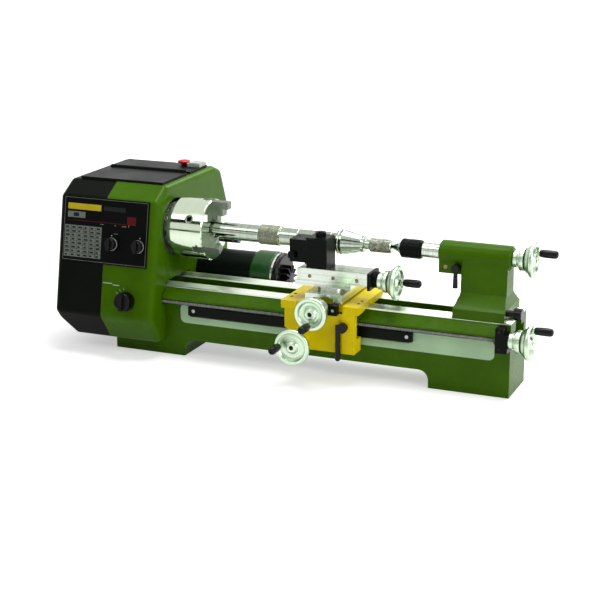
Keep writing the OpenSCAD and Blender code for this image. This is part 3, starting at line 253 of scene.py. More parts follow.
def fillet(corners: Array, cuts: float, steps: int = 4, closed: bool = True) -> Array:
    """Rounds the corners of a flat polygon.

    Each corner P gives way to the curve (1-s)^2 A + 2 s (1-s) P + s^2 B, where A and B lie one cut before and
    after P along its two edges.

    Args:
        corners: polygon corners, shape (n, 2).
        cuts: how much of each edge a corner takes, limited to just under half of the edge.
        steps: spans in each curve.
        closed: whether the last corner joins the first. If not, both end points stay as they are.

    Returns:
        The rounded outline, shape (m, 2).
    """
    p = np.asarray(corners, float)
    before, after = np.roll(p, 1, 0) - p, np.roll(p, -1, 0) - p
    len_b, len_a = np.linalg.norm(before, axis=1), np.linalg.norm(after, axis=1)
    cut = np.clip(np.broadcast_to(cuts, len(p)), 0.02, 0.49 * np.minimum(len_b, len_a))
    start = p + before / np.maximum(len_b, 1e-9)[:, None] * cut[:, None]
    end = p + after / np.maximum(len_a, 1e-9)[:, None] * cut[:, None]
    s = np.linspace(0, 1, steps + 1)[None, :, None]
    curves = (1 - s) ** 2 * start[:, None] + 2 * s * (1 - s) * p[:, None] + s**2 * end[:, None]
    if closed:
        return curves.reshape(-1, 2)
    return np.concatenate([p[:1], curves[1:-1].reshape(-1, 2), p[-1:]])


def turned(profile: Sequence[tuple[float, float]], cut: float, steps: int, closed: bool = False) -> Surface:
    """Turns a profile with rounded corners about the own axis a.

    Point (i, j) is (a_i, r_i cos t_j, r_i sin t_j). An end on the axis becomes one pole with a fan.

    Args:
        profile: pairs (r, a), with the material on the axis side while a rises.
        cut: how much of each edge a corner takes.
        steps: points round the turn.
        closed: whether the profile is a loop, as on a ring.

    Returns:
        The turned surface.
    """
    pairs = fillet(np.array(profile, float), cut, 3, closed)
    low_pole = not closed and pairs[0, 0] < 1e-6
    high_pole = not closed and pairs[-1, 0] < 1e-6
    body = pairs[(1 if low_pole else 0) : (len(pairs) - 1 if high_pole else len(pairs))]
    points = wound(body[:, 1:2], body[:, :1], angles(steps))
    faces, last = [grid_faces(len(body), steps, closed)], len(points) - steps
    if low_pole:
        faces.append(fan(len(points), 0, steps, True))
        points = np.vstack([points, [pairs[0, 1], 0, 0]])
    if high_pole:
        faces.append(fan(len(points), last, steps, False))
        points = np.vstack([points, [pairs[-1, 1], 0, 0]])
    return Surface(points, tuple(faces))


def prism(section: Array, low: float, high: float, edge: float, steps: int = 3) -> Surface:
    """A section carried along the own axis a, with rounded ends.

    Near an end the ring at angle p has the section moved inwards by edge (1 - sin p), along the mean of the
    two neighbouring edges' normals, at edge (1 - cos p) from the end.

    Args:
        section: outline (u, v), anticlockwise seen against the axis.
        low: where it starts along a.
        high: where it ends along a.
        edge: radius of the rounding at both ends.
        steps: spans in each rounding.

    Returns:
        The closed prism.
    """
    line = np.asarray(section, float)
    ahead = np.roll(line, -1, 0) - line
    ahead /= np.maximum(np.linalg.norm(ahead, axis=1), 1e-9)[:, None]
    normal = np.stack([ahead[:, 1], -ahead[:, 0]], -1)
    before = np.roll(normal, 1, 0)
    outward = (normal + before) / np.maximum(1 + (normal * before).sum(1), 0.3)[:, None]
    p = np.linspace(0, np.pi / 2, steps + 1)
    inset, rise = edge * (1 - np.sin(p)), edge * (1 - np.cos(p))
    insets = np.concatenate([inset, inset[::-1]])
    places = np.concatenate([low + rise, high - rise[::-1]])
    rings = line[None] - outward[None] * insets[:, None, None]
    a = np.broadcast_to(places[:, None, None], rings.shape[:2] + (1,))
    count = len(line)
    last = (len(places) - 1) * count
    caps = (np.arange(count)[::-1][None], (last + np.arange(count))[None])
    return Surface(np.concatenate([a, rings], -1).reshape(-1, 3), (grid_faces(len(places), count),) + caps)


def rectangle(u0: float, v0: float, u1: float, v1: float, corner: float = 0.3) -> Array:
    """A rounded rectangle from its left, bottom, right and top, as an anticlockwise outline (u, v)."""
    return fillet(np.array([[u0, v0], [u1, v0], [u1, v1], [u0, v1]], float), corner, 3)


def cap_screw(radius: float, height: float, socket: float, depth: float) -> Surface:
    """A socket head with a hexagonal hole, along the own axis a.

    Ring k has radius R_k, plus S / cos(t mod 60 - 30) where h_k = 1, so that such a ring is a hexagon.

    Args:
        radius: radius of the head.
        height: height of the head.
        socket: half of the hexagon's width across its flats, S.
        depth: depth of the socket.

    Returns:
        The head.
    """
    t = angles(HEAD_STEPS)
    hexagon = socket / np.cos(np.mod(t, np.pi / 3) - np.pi / 6)
    rings = np.array([
        [0, radius, 0], [height - 0.5, radius, 0], [height - 0.15, radius - 0.2, 0],
        [height, radius - 0.6, 0], [height, 0.35, 1], [height - 0.3, 0, 1], [height - depth, 0, 1]])
    a, r, h = np.split(rings, 3, 1)
    return capped(wound(a, np.where(h > 0, hexagon + r, r), t), HEAD_STEPS, 0, height - depth)


def ring_marks(count: int, radius: float, low: float, long: Sequence[float]) -> Surface:
    """Raised graduation marks round a drum about the own axis a.

    Mark k is a thin box at angle 360 k / count, and its length is taken in turn from the list of lengths.

    Args:
        count: number of marks.
        radius: radius of the drum.
        low: where the marks start along a.
        long: mark lengths that repeat round the drum.

    Returns:
        The marks.
    """
    turn = angles(count)[:, None]
    length = np.resize(np.asarray(long, float), count)
    corner = np.array([[x, y, z] for z in (0, 1) for y in (0, 1) for x in (0, 1)], float)
    a = low + corner[None, :, 0] * length[:, None]
    across = (corner[None, :, 1] - 0.5) * MARK_WIDTH
    out = radius - MARK_DEPTH + corner[None, :, 2] * 2 * MARK_DEPTH
    u, v = out * np.cos(turn) - across * np.sin(turn), out * np.sin(turn) + across * np.cos(turn)
    quads = np.array([[1, 3, 2, 0], [6, 7, 5, 4], [4, 5, 1, 0], [3, 7, 6, 2], [2, 6, 4, 0], [5, 7, 3, 1]])
    faces = (quads[None] + 8 * np.arange(count)[:, None, None]).reshape(-1, 4)
    return Surface(np.stack([a, u, v], -1).reshape(-1, 3), (faces,))


def knurl(radius: float, low: float, high: float, pitch: float, depth: float) -> Surface:
    """A band with a diamond knurl about the own axis a, fading out at both ends.

    Radius at (a, t) is R - d + d |sin(pi (a / p + n t))| |sin(pi (a / p - n t))|, with n cells in a turn.

    Args:
        radius: outer radius.
        low: where the band starts.
        high: where the band ends.
        pitch: spacing of the diamonds.
        depth: depth of the grooves.

    Returns:
        The band, open at both ends.
    """
    cells = max(8, round(2 * np.pi * radius / pitch / KNURL_SLANT))
    rows, cols = int((high - low) / pitch * KNURL_RINGS) + 1, cells * KNURL_RINGS
    a = np.linspace(low, high, rows)[:, None]
    t = angles(cols)
    turns = cells * t / 2 / np.pi
    wave = np.abs(np.sin(np.pi * (a / pitch + turns)) * np.sin(np.pi * (a / pitch - turns)))
    fade = np.clip(np.minimum(a - low, high - a) / KNURL_FADE, 0, 1)
    return Surface(wound(a, radius - depth * (1 - wave) * fade, t), (grid_faces(rows, cols),))


def thread(radius: float, low: float, high: float, pitch: float, depth: float, steps: int = 20) -> Surface:
    """A screw thread about the own axis a, with closed ends.

    Radius at (a, t) is R - d w, where w is a clipped triangle wave of a / pitch - t / 360.

    Args:
        radius: outer radius.
        low: where the thread starts.
        high: where the thread ends.
        pitch: advance in one turn.
        depth: depth of the groove.
        steps: points round the screw.

    Returns:
        The threaded rod.
    """
    a = np.linspace(low, high, int((high - low) / pitch * THREAD_RINGS) + 1)[:, None]
    t = angles(steps)
    phase = np.mod(a / pitch - t / (2 * np.pi), 1)
    wave = np.clip(np.abs(phase - 0.5) * 4 - 0.5, 0, 1)
    return capped(wound(a, radius - depth * wave, t), steps, low, high)


# --- Shader nodes ---


class Side(Enum):
    """Which way a group's socket faces."""

    IN = "INPUT"
    OUT = "OUTPUT"


class Graph:
    """A small wrapper round a node tree that adds nodes and links by name."""

    def __init__(self, tree: Tree) -> None:
        """Keeps the node tree to fill."""
        self.tree = tree

    def add(self, kind: str, settings: dict[str, Any] | None = None, **inputs: Any) -> Node:
        """Adds a node, sets it up and fills its inputs.

        Args:
            kind: the node's type without the word ShaderNode in front.
            settings: properties of the node itself.
            inputs: values or output sockets by input name, with _ for a space, or by number as i0, i1.

        Returns:
            The node.
        """
        node = self.tree.nodes.new("ShaderNode" + kind)
        for key, value in (settings or {}).items():
            setattr(node, key, value)
        for key, value in inputs.items():
            name: Any = int(key[1:]) if key[0] == "i" and key[1:].isdigit() else key.replace("_", " ")
            if isinstance(value, Socket):
                self.tree.links.new(value, node.inputs[name])
            else:
                node.inputs[name].default_value = value
        return node

    def use(self, group: Tree, **inputs: Any) -> Any:
        """Places a node group and gives its outputs."""
        return self.add("Group", {"node_tree": group}, **inputs).outputs

    def math(self, operation: str, a: Any, b: Any = 0.0, clamp: bool = False) -> Socket:
        """The result of a maths node on two values or sockets, kept from 0 to 1 if clamp says so."""
        return self.add("Math", {"operation": operation, "use_clamp": clamp}, i0=a, i1=b).outputs[0]

    def total(self, start: Any, *terms: tuple[Socket, Any]) -> Socket:
        """Adds sockets to a starting value, each times its share.

        Args:
            start: the starting value or socket.
            terms: socket and share of each.

        Returns:
            The sum's socket.
        """
        for socket, share in terms:
            start = self.math("ADD", self.math("MULTIPLY", socket, share), start)
        return start

    def ramp(self, value: Any, low: float, high: float, to_low: float = 0.0, to_high: float = 1.0) -> Socket:
        """A value mapped smoothly from the range low to high onto the range to_low to to_high."""
        settings = {"interpolation_type": "SMOOTHSTEP"}
        return self.add("MapRange", settings, i0=value, i1=low, i2=high, i3=to_low, i4=to_high).outputs[0]

    def noise(self, where: Socket, scale: Any, detail: float, roughness: float = 0.5) -> Socket:
        """Fractal noise at a place."""
        return self.add("TexNoise", Vector=where, Scale=scale, Detail=detail, Roughness=roughness).outputs[0]

    def bump(self, height: Socket, normal: Socket, strength: float, distance: float) -> Socket:
        """A normal bent by a height."""
        return self.add("Bump", Strength=strength, Distance=distance, Height=height, Normal=normal).outputs[0]

    def mix(self, share: Any, a: Any, b: Any) -> Socket:
        """Colour a with as much of colour b over it as the share says."""
        return self.add("Mix", {"data_type": "RGBA"}, i0=share, i6=a, i7=b).outputs[2]

    def layers(self, blotch: Socket, deep: float, base: Colour, *coats: tuple[Socket, Colour]) -> Socket:
        """A colour that darkens in blotches, with other colours over it.

        Args:
            blotch: mask that is 0 where a blotch is darkest.
            deep: how bright the darkest blotch is against the base.
            base: the colour itself.
            coats: mask and colour of each layer over it, in turn.

        Returns:
            The colour's socket.
        """
        tone = self.mix(blotch, tuple(c * deep for c in base[:3]) + (1.0,), base)
        for mask, over in coats:
            tone = self.mix(mask, tone, over)
        return tone

    def here(self) -> Socket:
        """Object coordinates in metres."""
        return self.add("TexCoord").outputs["Object"]

    def place(self, centre: Point = (0, 0, 0), scale: Point = (1, 1, 1)) -> Socket:
        """Object coordinates about a centre in the row frame, stretched along each axis."""
        moved = self.add("Mapping", {"vector_type": "TEXTURE"}, Vector=self.here(), Location=centre)
        return self.add("Mapping", {"vector_type": "POINT"}, Vector=moved.outputs[0], Scale=scale).outputs[0]

    def shown(self) -> Socket:
        """Tells what the camera sees, straight or by a reflection or refraction.

        Returns:
            A mask that is 1 there and 0 where light is gathered for other surfaces.
        """
        path = self.add("LightPath").outputs
        shiny = self.math("ADD", path["Is Glossy Ray"], path["Is Transmission Ray"])
        return self.math("ADD", path["Is Camera Ray"], shiny, True)


def new_group(name: str, inputs: dict[str, float | None], *outputs: str) -> tuple[Graph, Any]:
    """Starts a shader node group with named sockets.

    Args:
        name: the group's name.
        inputs: starting value of each number that goes in, or None for a vector.
        outputs: names of what comes out. One called Normal is a vector.

    Returns:
        A graph to fill the group, and the sockets of what goes in.
    """
    tree = bpy.data.node_groups.new(name, "ShaderNodeTree")
    rows = [(label, Side.IN, value, value is None) for label, value in inputs.items()]
    rows += [(label, Side.OUT, None, label == "Normal") for label in outputs]
    for label, side, value, vector in rows:
        kind = "NodeSocketVector" if vector else "NodeSocketFloat"
        socket = tree.interface.new_socket(name=label, in_out=side.value, socket_type=kind)
        if value is not None:
            socket.default_value = value
    return Graph(tree), tree.nodes.new("NodeGroupInput").outputs


def close_group(graph: Graph, **results: Socket) -> Tree:
    """Links results to a group's outputs.

    Args:
        graph: the group's graph.
        results: socket by output name.

    Returns:
        The group's tree.
    """
    out = graph.tree.nodes.new("NodeGroupOutput")
    for name, socket in results.items():
        graph.tree.links.new(socket, out.inputs[name])
    return graph.tree


# Where the edge mask starts and where it is full. The mask carries a paler rim that is partly rubbing and
# partly a painted highlight.
RUB_AND_HIGHLIGHT_STARTS = 0.985
RUB_AND_HIGHLIGHT_FULL = 0.87


class Effects:
    """Shader node groups that more than one material uses. Each is built once."""

    def __init__(self) -> None:
        """Builds all groups."""
        self.edges = self._edges()
        self.grain = self._grain()
        self.brushed = self._brushed()
        self.turned = self._turned()
        self.dust = self._dust()

    def _edges(self) -> Tree:
        """Rounds edges by their normal, and marks them where its cosine to the flat normal falls. The mark,
        broken by noise, is where finishes lay a paler rim: partly rubbing, partly a painted highlight on the
        rounding.

        Returns:
            The group: Radius, Amount and Break in, Mask and Normal out.
        """
        g, given = new_group("painted edge highlight and rubbing", {"Radius": 0.0008, "Amount": 1.0, "Break": 90.0}, "Mask", "Normal")
        soft = g.add("Bevel", {"samples": 4}, Radius=given["Radius"]).outputs[0]
        flat = g.add("NewGeometry").outputs["Normal"]
        aligned = g.add("VectorMath", {"operation": "DOT_PRODUCT"}, i0=soft, i1=flat).outputs["Value"]
        broken = g.ramp(g.noise(g.here(), given["Break"], 4.0), 0.35, 0.7)
        rubbed_and_highlit = g.math("MULTIPLY", g.ramp(aligned, RUB_AND_HIGHLIGHT_STARTS, RUB_AND_HIGHLIGHT_FULL), broken)
        return close_group(g, Mask=g.math("MULTIPLY", rubbed_and_highlit, given["Amount"], True), Normal=soft)

    def _grain(self) -> Tree:
        """Fine and broad unevenness.

        Returns:
            The group: Scale in, Height and Blotch out, both about 0.5.
        """
        g, given = new_group("grain", {"Scale": 600.0}, "Height", "Blotch")
        where = g.here()
        broad = g.noise(where, g.math("DIVIDE", given["Scale"], 24.0), 5.0)
        return close_group(g, Height=g.noise(where, given["Scale"], 3.0), Blotch=g.ramp(broad, 0.3, 0.7))

    def _brushed(self) -> Tree:
        """Fine lines along one direction.

        Returns:
            The group: Vector in, already stretched, Lines and Streak out.
        """
        g, given = new_group("brushed", {"Vector": None}, "Lines", "Streak")
        fine = g.noise(given["Vector"], 1.0, 5.0, 0.7)
        return close_group(g, Lines=fine, Streak=g.ramp(g.noise(given["Vector"], 0.12, 3.0), 0.35, 0.65))

    def _turned(self) -> Tree:
        """Turning marks: noise of the distance from the axis X of the vector and of the place along it.

        Returns:
            The group: Vector and Scale in, Lines and Streak out.
        """
        g, given = new_group("turned", {"Vector": None, "Scale": 2500.0}, "Lines", "Streak")
        x, y, z = g.add("SeparateXYZ", Vector=given["Vector"]).outputs
        far = g.math("SQRT", g.total(g.math("MULTIPLY", z, z), (y, y)))
        line = g.add("CombineXYZ", X=x, Y=far, Z=0.0).outputs[0]
        broad = g.noise(line, g.math("DIVIDE", given["Scale"], 9.0), 2.0)
        return close_group(g, Lines=g.noise(line, given["Scale"], 3.0, 0.7), Streak=g.ramp(broad, 0.35, 0.65))

    def _dust(self) -> Tree:
        """Dust that lies on surfaces facing up.

        Returns:
            The group: Amount in, Mask out.
        """
        g, given = new_group("dust", {"Amount": 0.2}, "Mask")
        rise = g.add("SeparateXYZ", Vector=g.add("NewGeometry").outputs["Normal"]).outputs[2]
        lying = g.math("MULTIPLY", g.ramp(rise, 0.3, 1.0), g.ramp(g.noise(g.here(), 45.0, 6.0), 0.4, 0.75))
        return close_group(g, Mask=g.math("MULTIPLY", lying, given["Amount"], True))


def colour(red: float, green: float, blue: float) -> Colour:
    """A colour from 8-bit sRGB values, as linear light.

    Each channel c from 0 to 1 becomes ((c + 0.055) / 1.055) to the power 2.4, or c / 12.92 near black.

    Args:
        red: 0 to 255.
        green: 0 to 255.
        blue: 0 to 255.

    Returns:
        Linear red, green, blue and alpha.
    """
    c = np.array([red, green, blue], float) / 255
    low, high = c / 12.92, ((c + 0.055) / 1.055) ** 2.4
    return (*np.where(c <= 0.04045, low, high).tolist(), 1.0)


class Workshop:
    """Holds the node groups and each finish's material, so that every one is built once."""

    def __init__(self) -> None:
        """Builds the node groups."""
        self.effects = Effects()
        self.materials: dict[Any, bpy.types.Material] = {}

    def material(self, finish: "Finish") -> bpy.types.Material:
        """The material of a finish.

        Args:
            finish: the finish.

        Returns:
            Its material, built on first use.
        """
        if finish not in self.materials:
            made = bpy.data.materials.new(finish.name)
            made.use_nodes = True
            made.node_tree.nodes.clear()
            graph = Graph(made.node_tree)
            graph.add("OutputMaterial", Surface=finish.build(graph, self.effects).outputs[0])
            self.materials[finish] = made
        return self.materials[finish]


DUST = colour(190, 188, 180)
PALE_DUST = colour(170, 168, 160)
WHITE = (1.0, 1.0, 1.0, 1.0)
ALONG_BED = (30.0, 2200.0, 2200.0)
ACROSS_BED = (2200.0, 30.0, 2200.0)
NO_LINES = (900.0, 900.0, 900.0)
PAINT_DEPTH = 0.0002
FINE_DEPTH = 0.0001


@dataclass(frozen=True)
class Finish:
    """A finish with a name. Each kind builds its own nodes."""

    name: str

    def build(self, g: Graph, fx: Effects) -> Node:
        """Builds the nodes in a material's graph with the shared groups, and gives the Principled BSDF."""
        raise NotImplementedError


@dataclass(frozen=True)
class Paint(Finish):
    """Enamel on cast iron or a moulding, with grain under it, dust, and paler rims on the edges that are
    partly rubbing and partly a painted highlight.
    """

    base: Colour
    rub_and_highlight: Colour
    roughness: float = 0.34
    coat: float = 0.12
    specular: float = 0.25
    edge: float = 0.0009
    rubbed_and_highlit: float = 0.5
    bump: float = 0.12
    dust: float = 0.12
    broken: float = 120.0
    texture: float = 480.0
    deep: float = 0.86
    blotch: float = 0.08
    dusty: float = 0.5
    powder: Colour = DUST
    depth: float = PAINT_DEPTH

    def build(self, g: Graph, fx: Effects) -> Node:
        """Builds the finish's nodes.

        Args:
            g: graph of the material.
            fx: the shared node groups.

        Returns:
            The Principled BSDF node.
        """
        edges = g.use(fx.edges, Radius=self.edge, Amount=self.rubbed_and_highlit, Break=self.broken)
        grain = g.use(fx.grain, Scale=self.texture)
        dust = g.use(fx.dust, Amount=self.dust)[0]
        # The paler rim colour on the edge mask is partly rubbed paint and partly a painted highlight.
        coats = ((edges["Mask"], self.rub_and_highlight), (dust, self.powder))
        tone = g.layers(grain["Blotch"], self.deep, self.base, *coats)
        rough = g.total(self.roughness - self.blotch / 2, (dust, self.dusty), (grain["Blotch"], self.blotch))
        normal = g.bump(grain["Height"], edges["Normal"], self.bump, self.depth)
        return g.add("BsdfPrincipled", Base_Color=tone, Roughness=rough, Specular_IOR_Level=self.specular,
                     Coat_Weight=self.coat, Coat_Roughness=0.12, Normal=normal)


@dataclass(frozen=True)
class CastingFinish(Finish):
    """Enamel below a height and ground steel on what faces up above it, as on a bed."""

    base: Colour
    rub_and_highlight: Colour
    steel: Colour
    ground_above: float
    fade: float = 0.0004
    edge: float = 0.0008
    rubbed_and_highlit: float = 0.45
    broken: float = 120.0
    texture: float = 480.0
    dust: float = 0.03
    bump: float = 0.16

    def build(self, g: Graph, fx: Effects) -> Node:
        """Builds the finish's nodes. The share of steel rises over the fade from the height that is given.

        Args:
            g: graph of the material.
            fx: the shared node groups.

        Returns:
            The Principled BSDF node.
        """
        edges = g.use(fx.edges, Radius=self.edge, Amount=self.rubbed_and_highlit, Break=self.broken)
        grain = g.use(fx.grain, Scale=self.texture)
        lines = g.use(fx.brushed, Vector=g.place(scale=ALONG_BED))
        dust = g.use(fx.dust, Amount=self.dust)[0]
        height = g.add("SeparateXYZ", Vector=g.place()).outputs[2]
        ground = g.ramp(height, self.ground_above, self.ground_above + self.fade)
        # The paler rim on the edge mask is partly rubbed paint and partly a painted highlight.
        paint = g.layers(grain["Blotch"], 0.84, self.base, (edges["Mask"], self.rub_and_highlight), (dust, DUST))
        tone = g.mix(ground, paint, g.layers(lines["Streak"], 0.92, self.steel))
        rough = g.total(g.ramp(ground, 0, 1, 0.22, 0.3), (grain["Blotch"], 0.08))
        milled = (lines["Lines"], g.math("MULTIPLY", ground, 0.5))
        relief = g.total(g.math("MULTIPLY", grain["Height"], 0.6), milled)
        normal = g.bump(relief, edges["Normal"], self.bump, PAINT_DEPTH)
        return g.add("BsdfPrincipled", Base_Color=tone, Metallic=ground, Roughness=rough, Normal=normal,
                     Specular_IOR_Level=g.ramp(ground, 0, 1, 0.07, 0.5))


@dataclass(frozen=True)
class Metal(Finish):
    """Bare metal with the fine marks of a tool. Each kind says how the marks run."""

    base: Colour
    roughness: float
    bump: float
    streak: float
    edge: float
    rubbed_and_highlit: float
    broken: float
    blotch: float
    # The rim colour on the edge mask is partly polished rubbing and partly a painted highlight.
    rim: Colour
    texture: float = 700.0
    lined: float = 0.12

    def marks(self, g: Graph, fx: Effects) -> Any:
        """Outputs of the group that holds the marks: Lines and Streak."""
        raise NotImplementedError

    def build(self, g: Graph, fx: Effects) -> Node:
        """Builds the finish's nodes.

        Args:
            g: graph of the material.
            fx: the shared node groups.

        Returns:
            The Principled BSDF node.
        """
        marks = self.marks(g, fx)
        edges = g.use(fx.edges, Radius=self.edge, Amount=self.rubbed_and_highlit, Break=self.broken)
        grain = g.use(fx.grain, Scale=self.texture)
        tone = g.layers(marks["Streak"], self.streak, self.base, (edges["Mask"], self.rim))
        level = self.roughness - self.blotch - 0.02
        rough = g.total(level, (grain["Blotch"], self.blotch), (marks["Lines"], self.lined))
        normal = g.bump(marks["Lines"], edges["Normal"], self.bump, FINE_DEPTH)
        return g.add("BsdfPrincipled", Base_Color=tone, Metallic=1.0, Roughness=rough, Normal=normal)


@dataclass(frozen=True)
class GroundMetal(Metal):
    """Metal ground or milled along one direction."""

    roughness: float = 0.24
    bump: float = 0.14
    streak: float = 0.82
    edge: float = 0.0006
    rubbed_and_highlit: float = 0.8
    broken: float = 200.0
    blotch: float = 0.07
    # Near-white rim: partly polished rubbing, partly a painted highlight.
    rim: Colour = colour(245, 245, 242)
    stretch: Point = ALONG_BED

    def marks(self, g: Graph, fx: Effects) -> Any:
        """Outputs of the brushed group, stretched along the direction."""
        return g.use(fx.brushed, Vector=g.place(scale=self.stretch))


@dataclass(frozen=True)
class TurnedMetal(Metal):
    """Metal turned about an axis: rings on faces and fine feed marks along barrels."""

    roughness: float = 0.2
    bump: float = 0.12
    streak: float = 0.84
    edge: float = 0.0005
    rubbed_and_highlit: float = 0.7
    broken: float = 260.0
    blotch: float = 0.06
    # Near-white rim: partly polished rubbing, partly a painted highlight.
    rim: Colour = colour(248, 248, 246)
    centre: Point = (0.0, 0.0, SPINDLE_HEIGHT / MM_PER_M)
    about_y: bool = False
    scale: float = 2500.0

    def marks(self, g: Graph, fx: Effects) -> Any:
        """Outputs of the turned group about the axis through the centre, along X or Y.

        Args:
            g: graph of the material.
            fx: the shared node groups.

        Returns:
            The outputs Lines and Streak.
        """
        where = g.place(self.centre)
        if self.about_y:
            x, y, z = g.add("SeparateXYZ", Vector=where).outputs
            where = g.add("CombineXYZ", X=y, Y=x, Z=z).outputs[0]
        return g.use(fx.turned, Vector=where, Scale=self.scale)


def plastic(name: str, base: Colour, roughness: float = 0.35, specular: float = 0.25,
            bump: float = 0.1) -> Paint:
    """Moulded plastic, rubber or a printed film, with a fine texture.

    Its edges are paler, partly from rubbing and partly as a painted highlight: each channel c becomes 1.6 c +
    0.05, and at most 1.

    Args:
        name: the finish's name.
        base: its colour.
        roughness: how matt it is.
        specular: how bright its reflection is.
        bump: how strong its texture is.

    Returns:
        The finish.
    """
    rim = tuple(min(1.0, c * 1.6 + 0.05) for c in base[:3]) + (1.0,)
    return Paint(name, base, rim, roughness, coat=0.0, specular=specular, edge=0.0005, rubbed_and_highlit=0.25, bump=bump,
                 dust=0.03, broken=150.0, texture=900.0, deep=0.88, blotch=0.1, dusty=0.0, powder=PALE_DUST,
                 depth=FINE_DEPTH)


@dataclass(frozen=True)
class WhiteFloor(Finish):
    """A matt floor that keeps shadows and is lifted to white where the camera or a reflection sees it.

    The lift rises with the distance from the middle, in metres, between near and far.
    """

    lift: float = 0.48
    far_lift: float = 0.85
    near: float = 0.8
    far: float = 3.2

    def build(self, g: Graph, fx: Effects) -> Node:
        """Builds the finish's nodes.

        Args:
            g: graph of the material.
            fx: the shared node groups.

        Returns:
            The Principled BSDF node.
        """
        grain = g.use(fx.grain, Scale=9.0)
        tone = g.mix(grain["Blotch"], (0.79, 0.79, 0.79, 1.0), (0.81, 0.81, 0.81, 1.0))
        away = g.add("VectorMath", {"operation": "LENGTH"}, i0=g.place()).outputs["Value"]
        lift = g.math("MULTIPLY", g.shown(), g.ramp(away, self.near, self.far, self.lift, self.far_lift))
        return g.add("BsdfPrincipled", Base_Color=tone, Roughness=0.9, Specular_IOR_Level=0.0,
                     Emission_Color=WHITE, Emission_Strength=lift)


def alloy(name: str, centre: Point, about_y: bool = False) -> TurnedMetal:
    """The handwheels' bright alloy, turned about the axis through a centre in the row frame."""
    base = colour(202, 222, 196)
    return TurnedMetal(f"turned alloy, {name}", base, roughness=0.28, centre=centre, about_y=about_y)


# The second colour of each paint is the paler rim on its edges: partly rubbing, partly a painted highlight.
LEAF = colour(66, 106, 0)
LEAF_EDGE = colour(120, 154, 44)
PALE_STEEL = colour(206, 214, 202)
SCREW_AXIS = (0.0, -0.0515, 0.094)
GREEN = Paint("green enamel", LEAF, LEAF_EDGE, roughness=0.24, coat=0.0, specular=0.07, dust=0.01)
BED_GREEN = CastingFinish("green bed with ground ways", LEAF, LEAF_EDGE, colour(228, 238, 222), 0.1158)
MOTOR_GREEN = Paint("green motor enamel", colour(24, 72, 24), colour(80, 116, 74), 0.24, 0.1, dust=0.02)
DARK = Paint("near black enamel", colour(9, 15, 8), colour(62, 72, 52), coat=0.0, specular=0.05, dust=0.0)
YELLOW = Paint("yellow enamel", colour(242, 216, 0), colour(240, 228, 140), coat=0.04, specular=0.08,
               rubbed_and_highlit=0.3, dust=0.03)
TRIM = Paint("pale trim enamel", colour(184, 220, 174), colour(205, 224, 198), roughness=0.42)
BLACK_STEEL = Paint("blackened steel", colour(13, 19, 14), colour(104, 110, 100), roughness=0.3, coat=0.0,
                    specular=0.06, dust=0.0)
BLACK_SCREW = Paint("black screw", colour(16, 17, 16), colour(110, 110, 108), coat=0.0)
PANEL = plastic("panel film", colour(7, 10, 8), roughness=0.4, specular=0.05)
BLACK = plastic("black plastic", colour(10, 12, 10), roughness=0.26, specular=0.2)
RED = plastic("red plastic", colour(190, 22, 26), roughness=0.22)
GREY_PRINT = plastic("pale grey print", colour(118, 126, 116), roughness=0.5, specular=0.1)
YELLOW_PRINT = plastic("yellow print", colour(206, 184, 40), roughness=0.45, specular=0.1)
MAROON_PRINT = plastic("maroon print", colour(92, 18, 22), roughness=0.45, specular=0.1)
DARK_PRINT = plastic("dark print", colour(30, 34, 30), roughness=0.5, specular=0.1)
# Pale moulding of the stop box and the feed knob's printed scale. On the switch rings and dots it is a
# painted highlight.
PALE_MOULDING_AND_HIGHLIGHT = plastic("pale moulding and painted highlight", colour(176, 188, 176), roughness=0.4)
RUBBER = plastic("belt rubber", colour(22, 22, 22), roughness=0.75, bump=0.3)
STEEL = TurnedMetal("turned steel", PALE_STEEL)
WORK = TurnedMetal("workpiece steel", colour(176, 188, 172), roughness=0.14, scale=1800.0, bump=0.05)
CHUCK = TurnedMetal("chuck steel", colour(206, 220, 196), roughness=0.1, streak=0.96, scale=3200.0, bump=0.02)
KNURLED = TurnedMetal("knurled steel", colour(112, 118, 96), roughness=0.3, scale=1800.0)
# Darker steel here is painted shade: the leadscrew lies in the shadow under the bed's lip.
SHADED_LEADSCREW = TurnedMetal("leadscrew steel with painted shade", colour(104, 108, 100), centre=SCREW_AXIS, roughness=0.26)
END_ALLOY = alloy("leadscrew", SCREW_AXIS)
TAIL_ALLOY = alloy("tailstock", (0.0, 0.0, SPINDLE_HEIGHT / MM_PER_M))
COMPOUND_ALLOY = alloy("compound", (0.0, -0.042, 0.1621))
CROSS_ALLOY = alloy("cross slide", (0.051, 0.0, 0.1256), True)
CARRIAGE_ALLOY = alloy("carriage", (0.011, 0.0, 0.062), True)
SLIDE = GroundMetal("ground slides", PALE_STEEL, stretch=ACROSS_BED)
COMPOUND = GroundMetal("ground compound", PALE_STEEL)
# Darker hardened steel of the jaws. On the chuck key socket it is painted shade in the recess.
JAW_AND_SOCKET_SHADE = GroundMetal("hardened jaws and painted socket shade", colour(104, 112, 100), stretch=NO_LINES, roughness=0.26)
CAST = GroundMetal("cast grey", colour(130, 132, 130), roughness=0.5, stretch=(400.0, 400.0, 400.0))
BRONZE = GroundMetal("bronze", colour(176, 130, 66))
BRASS = GroundMetal("dull brass", colour(150, 120, 72), roughness=0.32, stretch=NO_LINES)
SCREW = GroundMetal("screw steel", colour(190, 194, 186), roughness=0.3, stretch=NO_LINES)


# --- Pieces ---


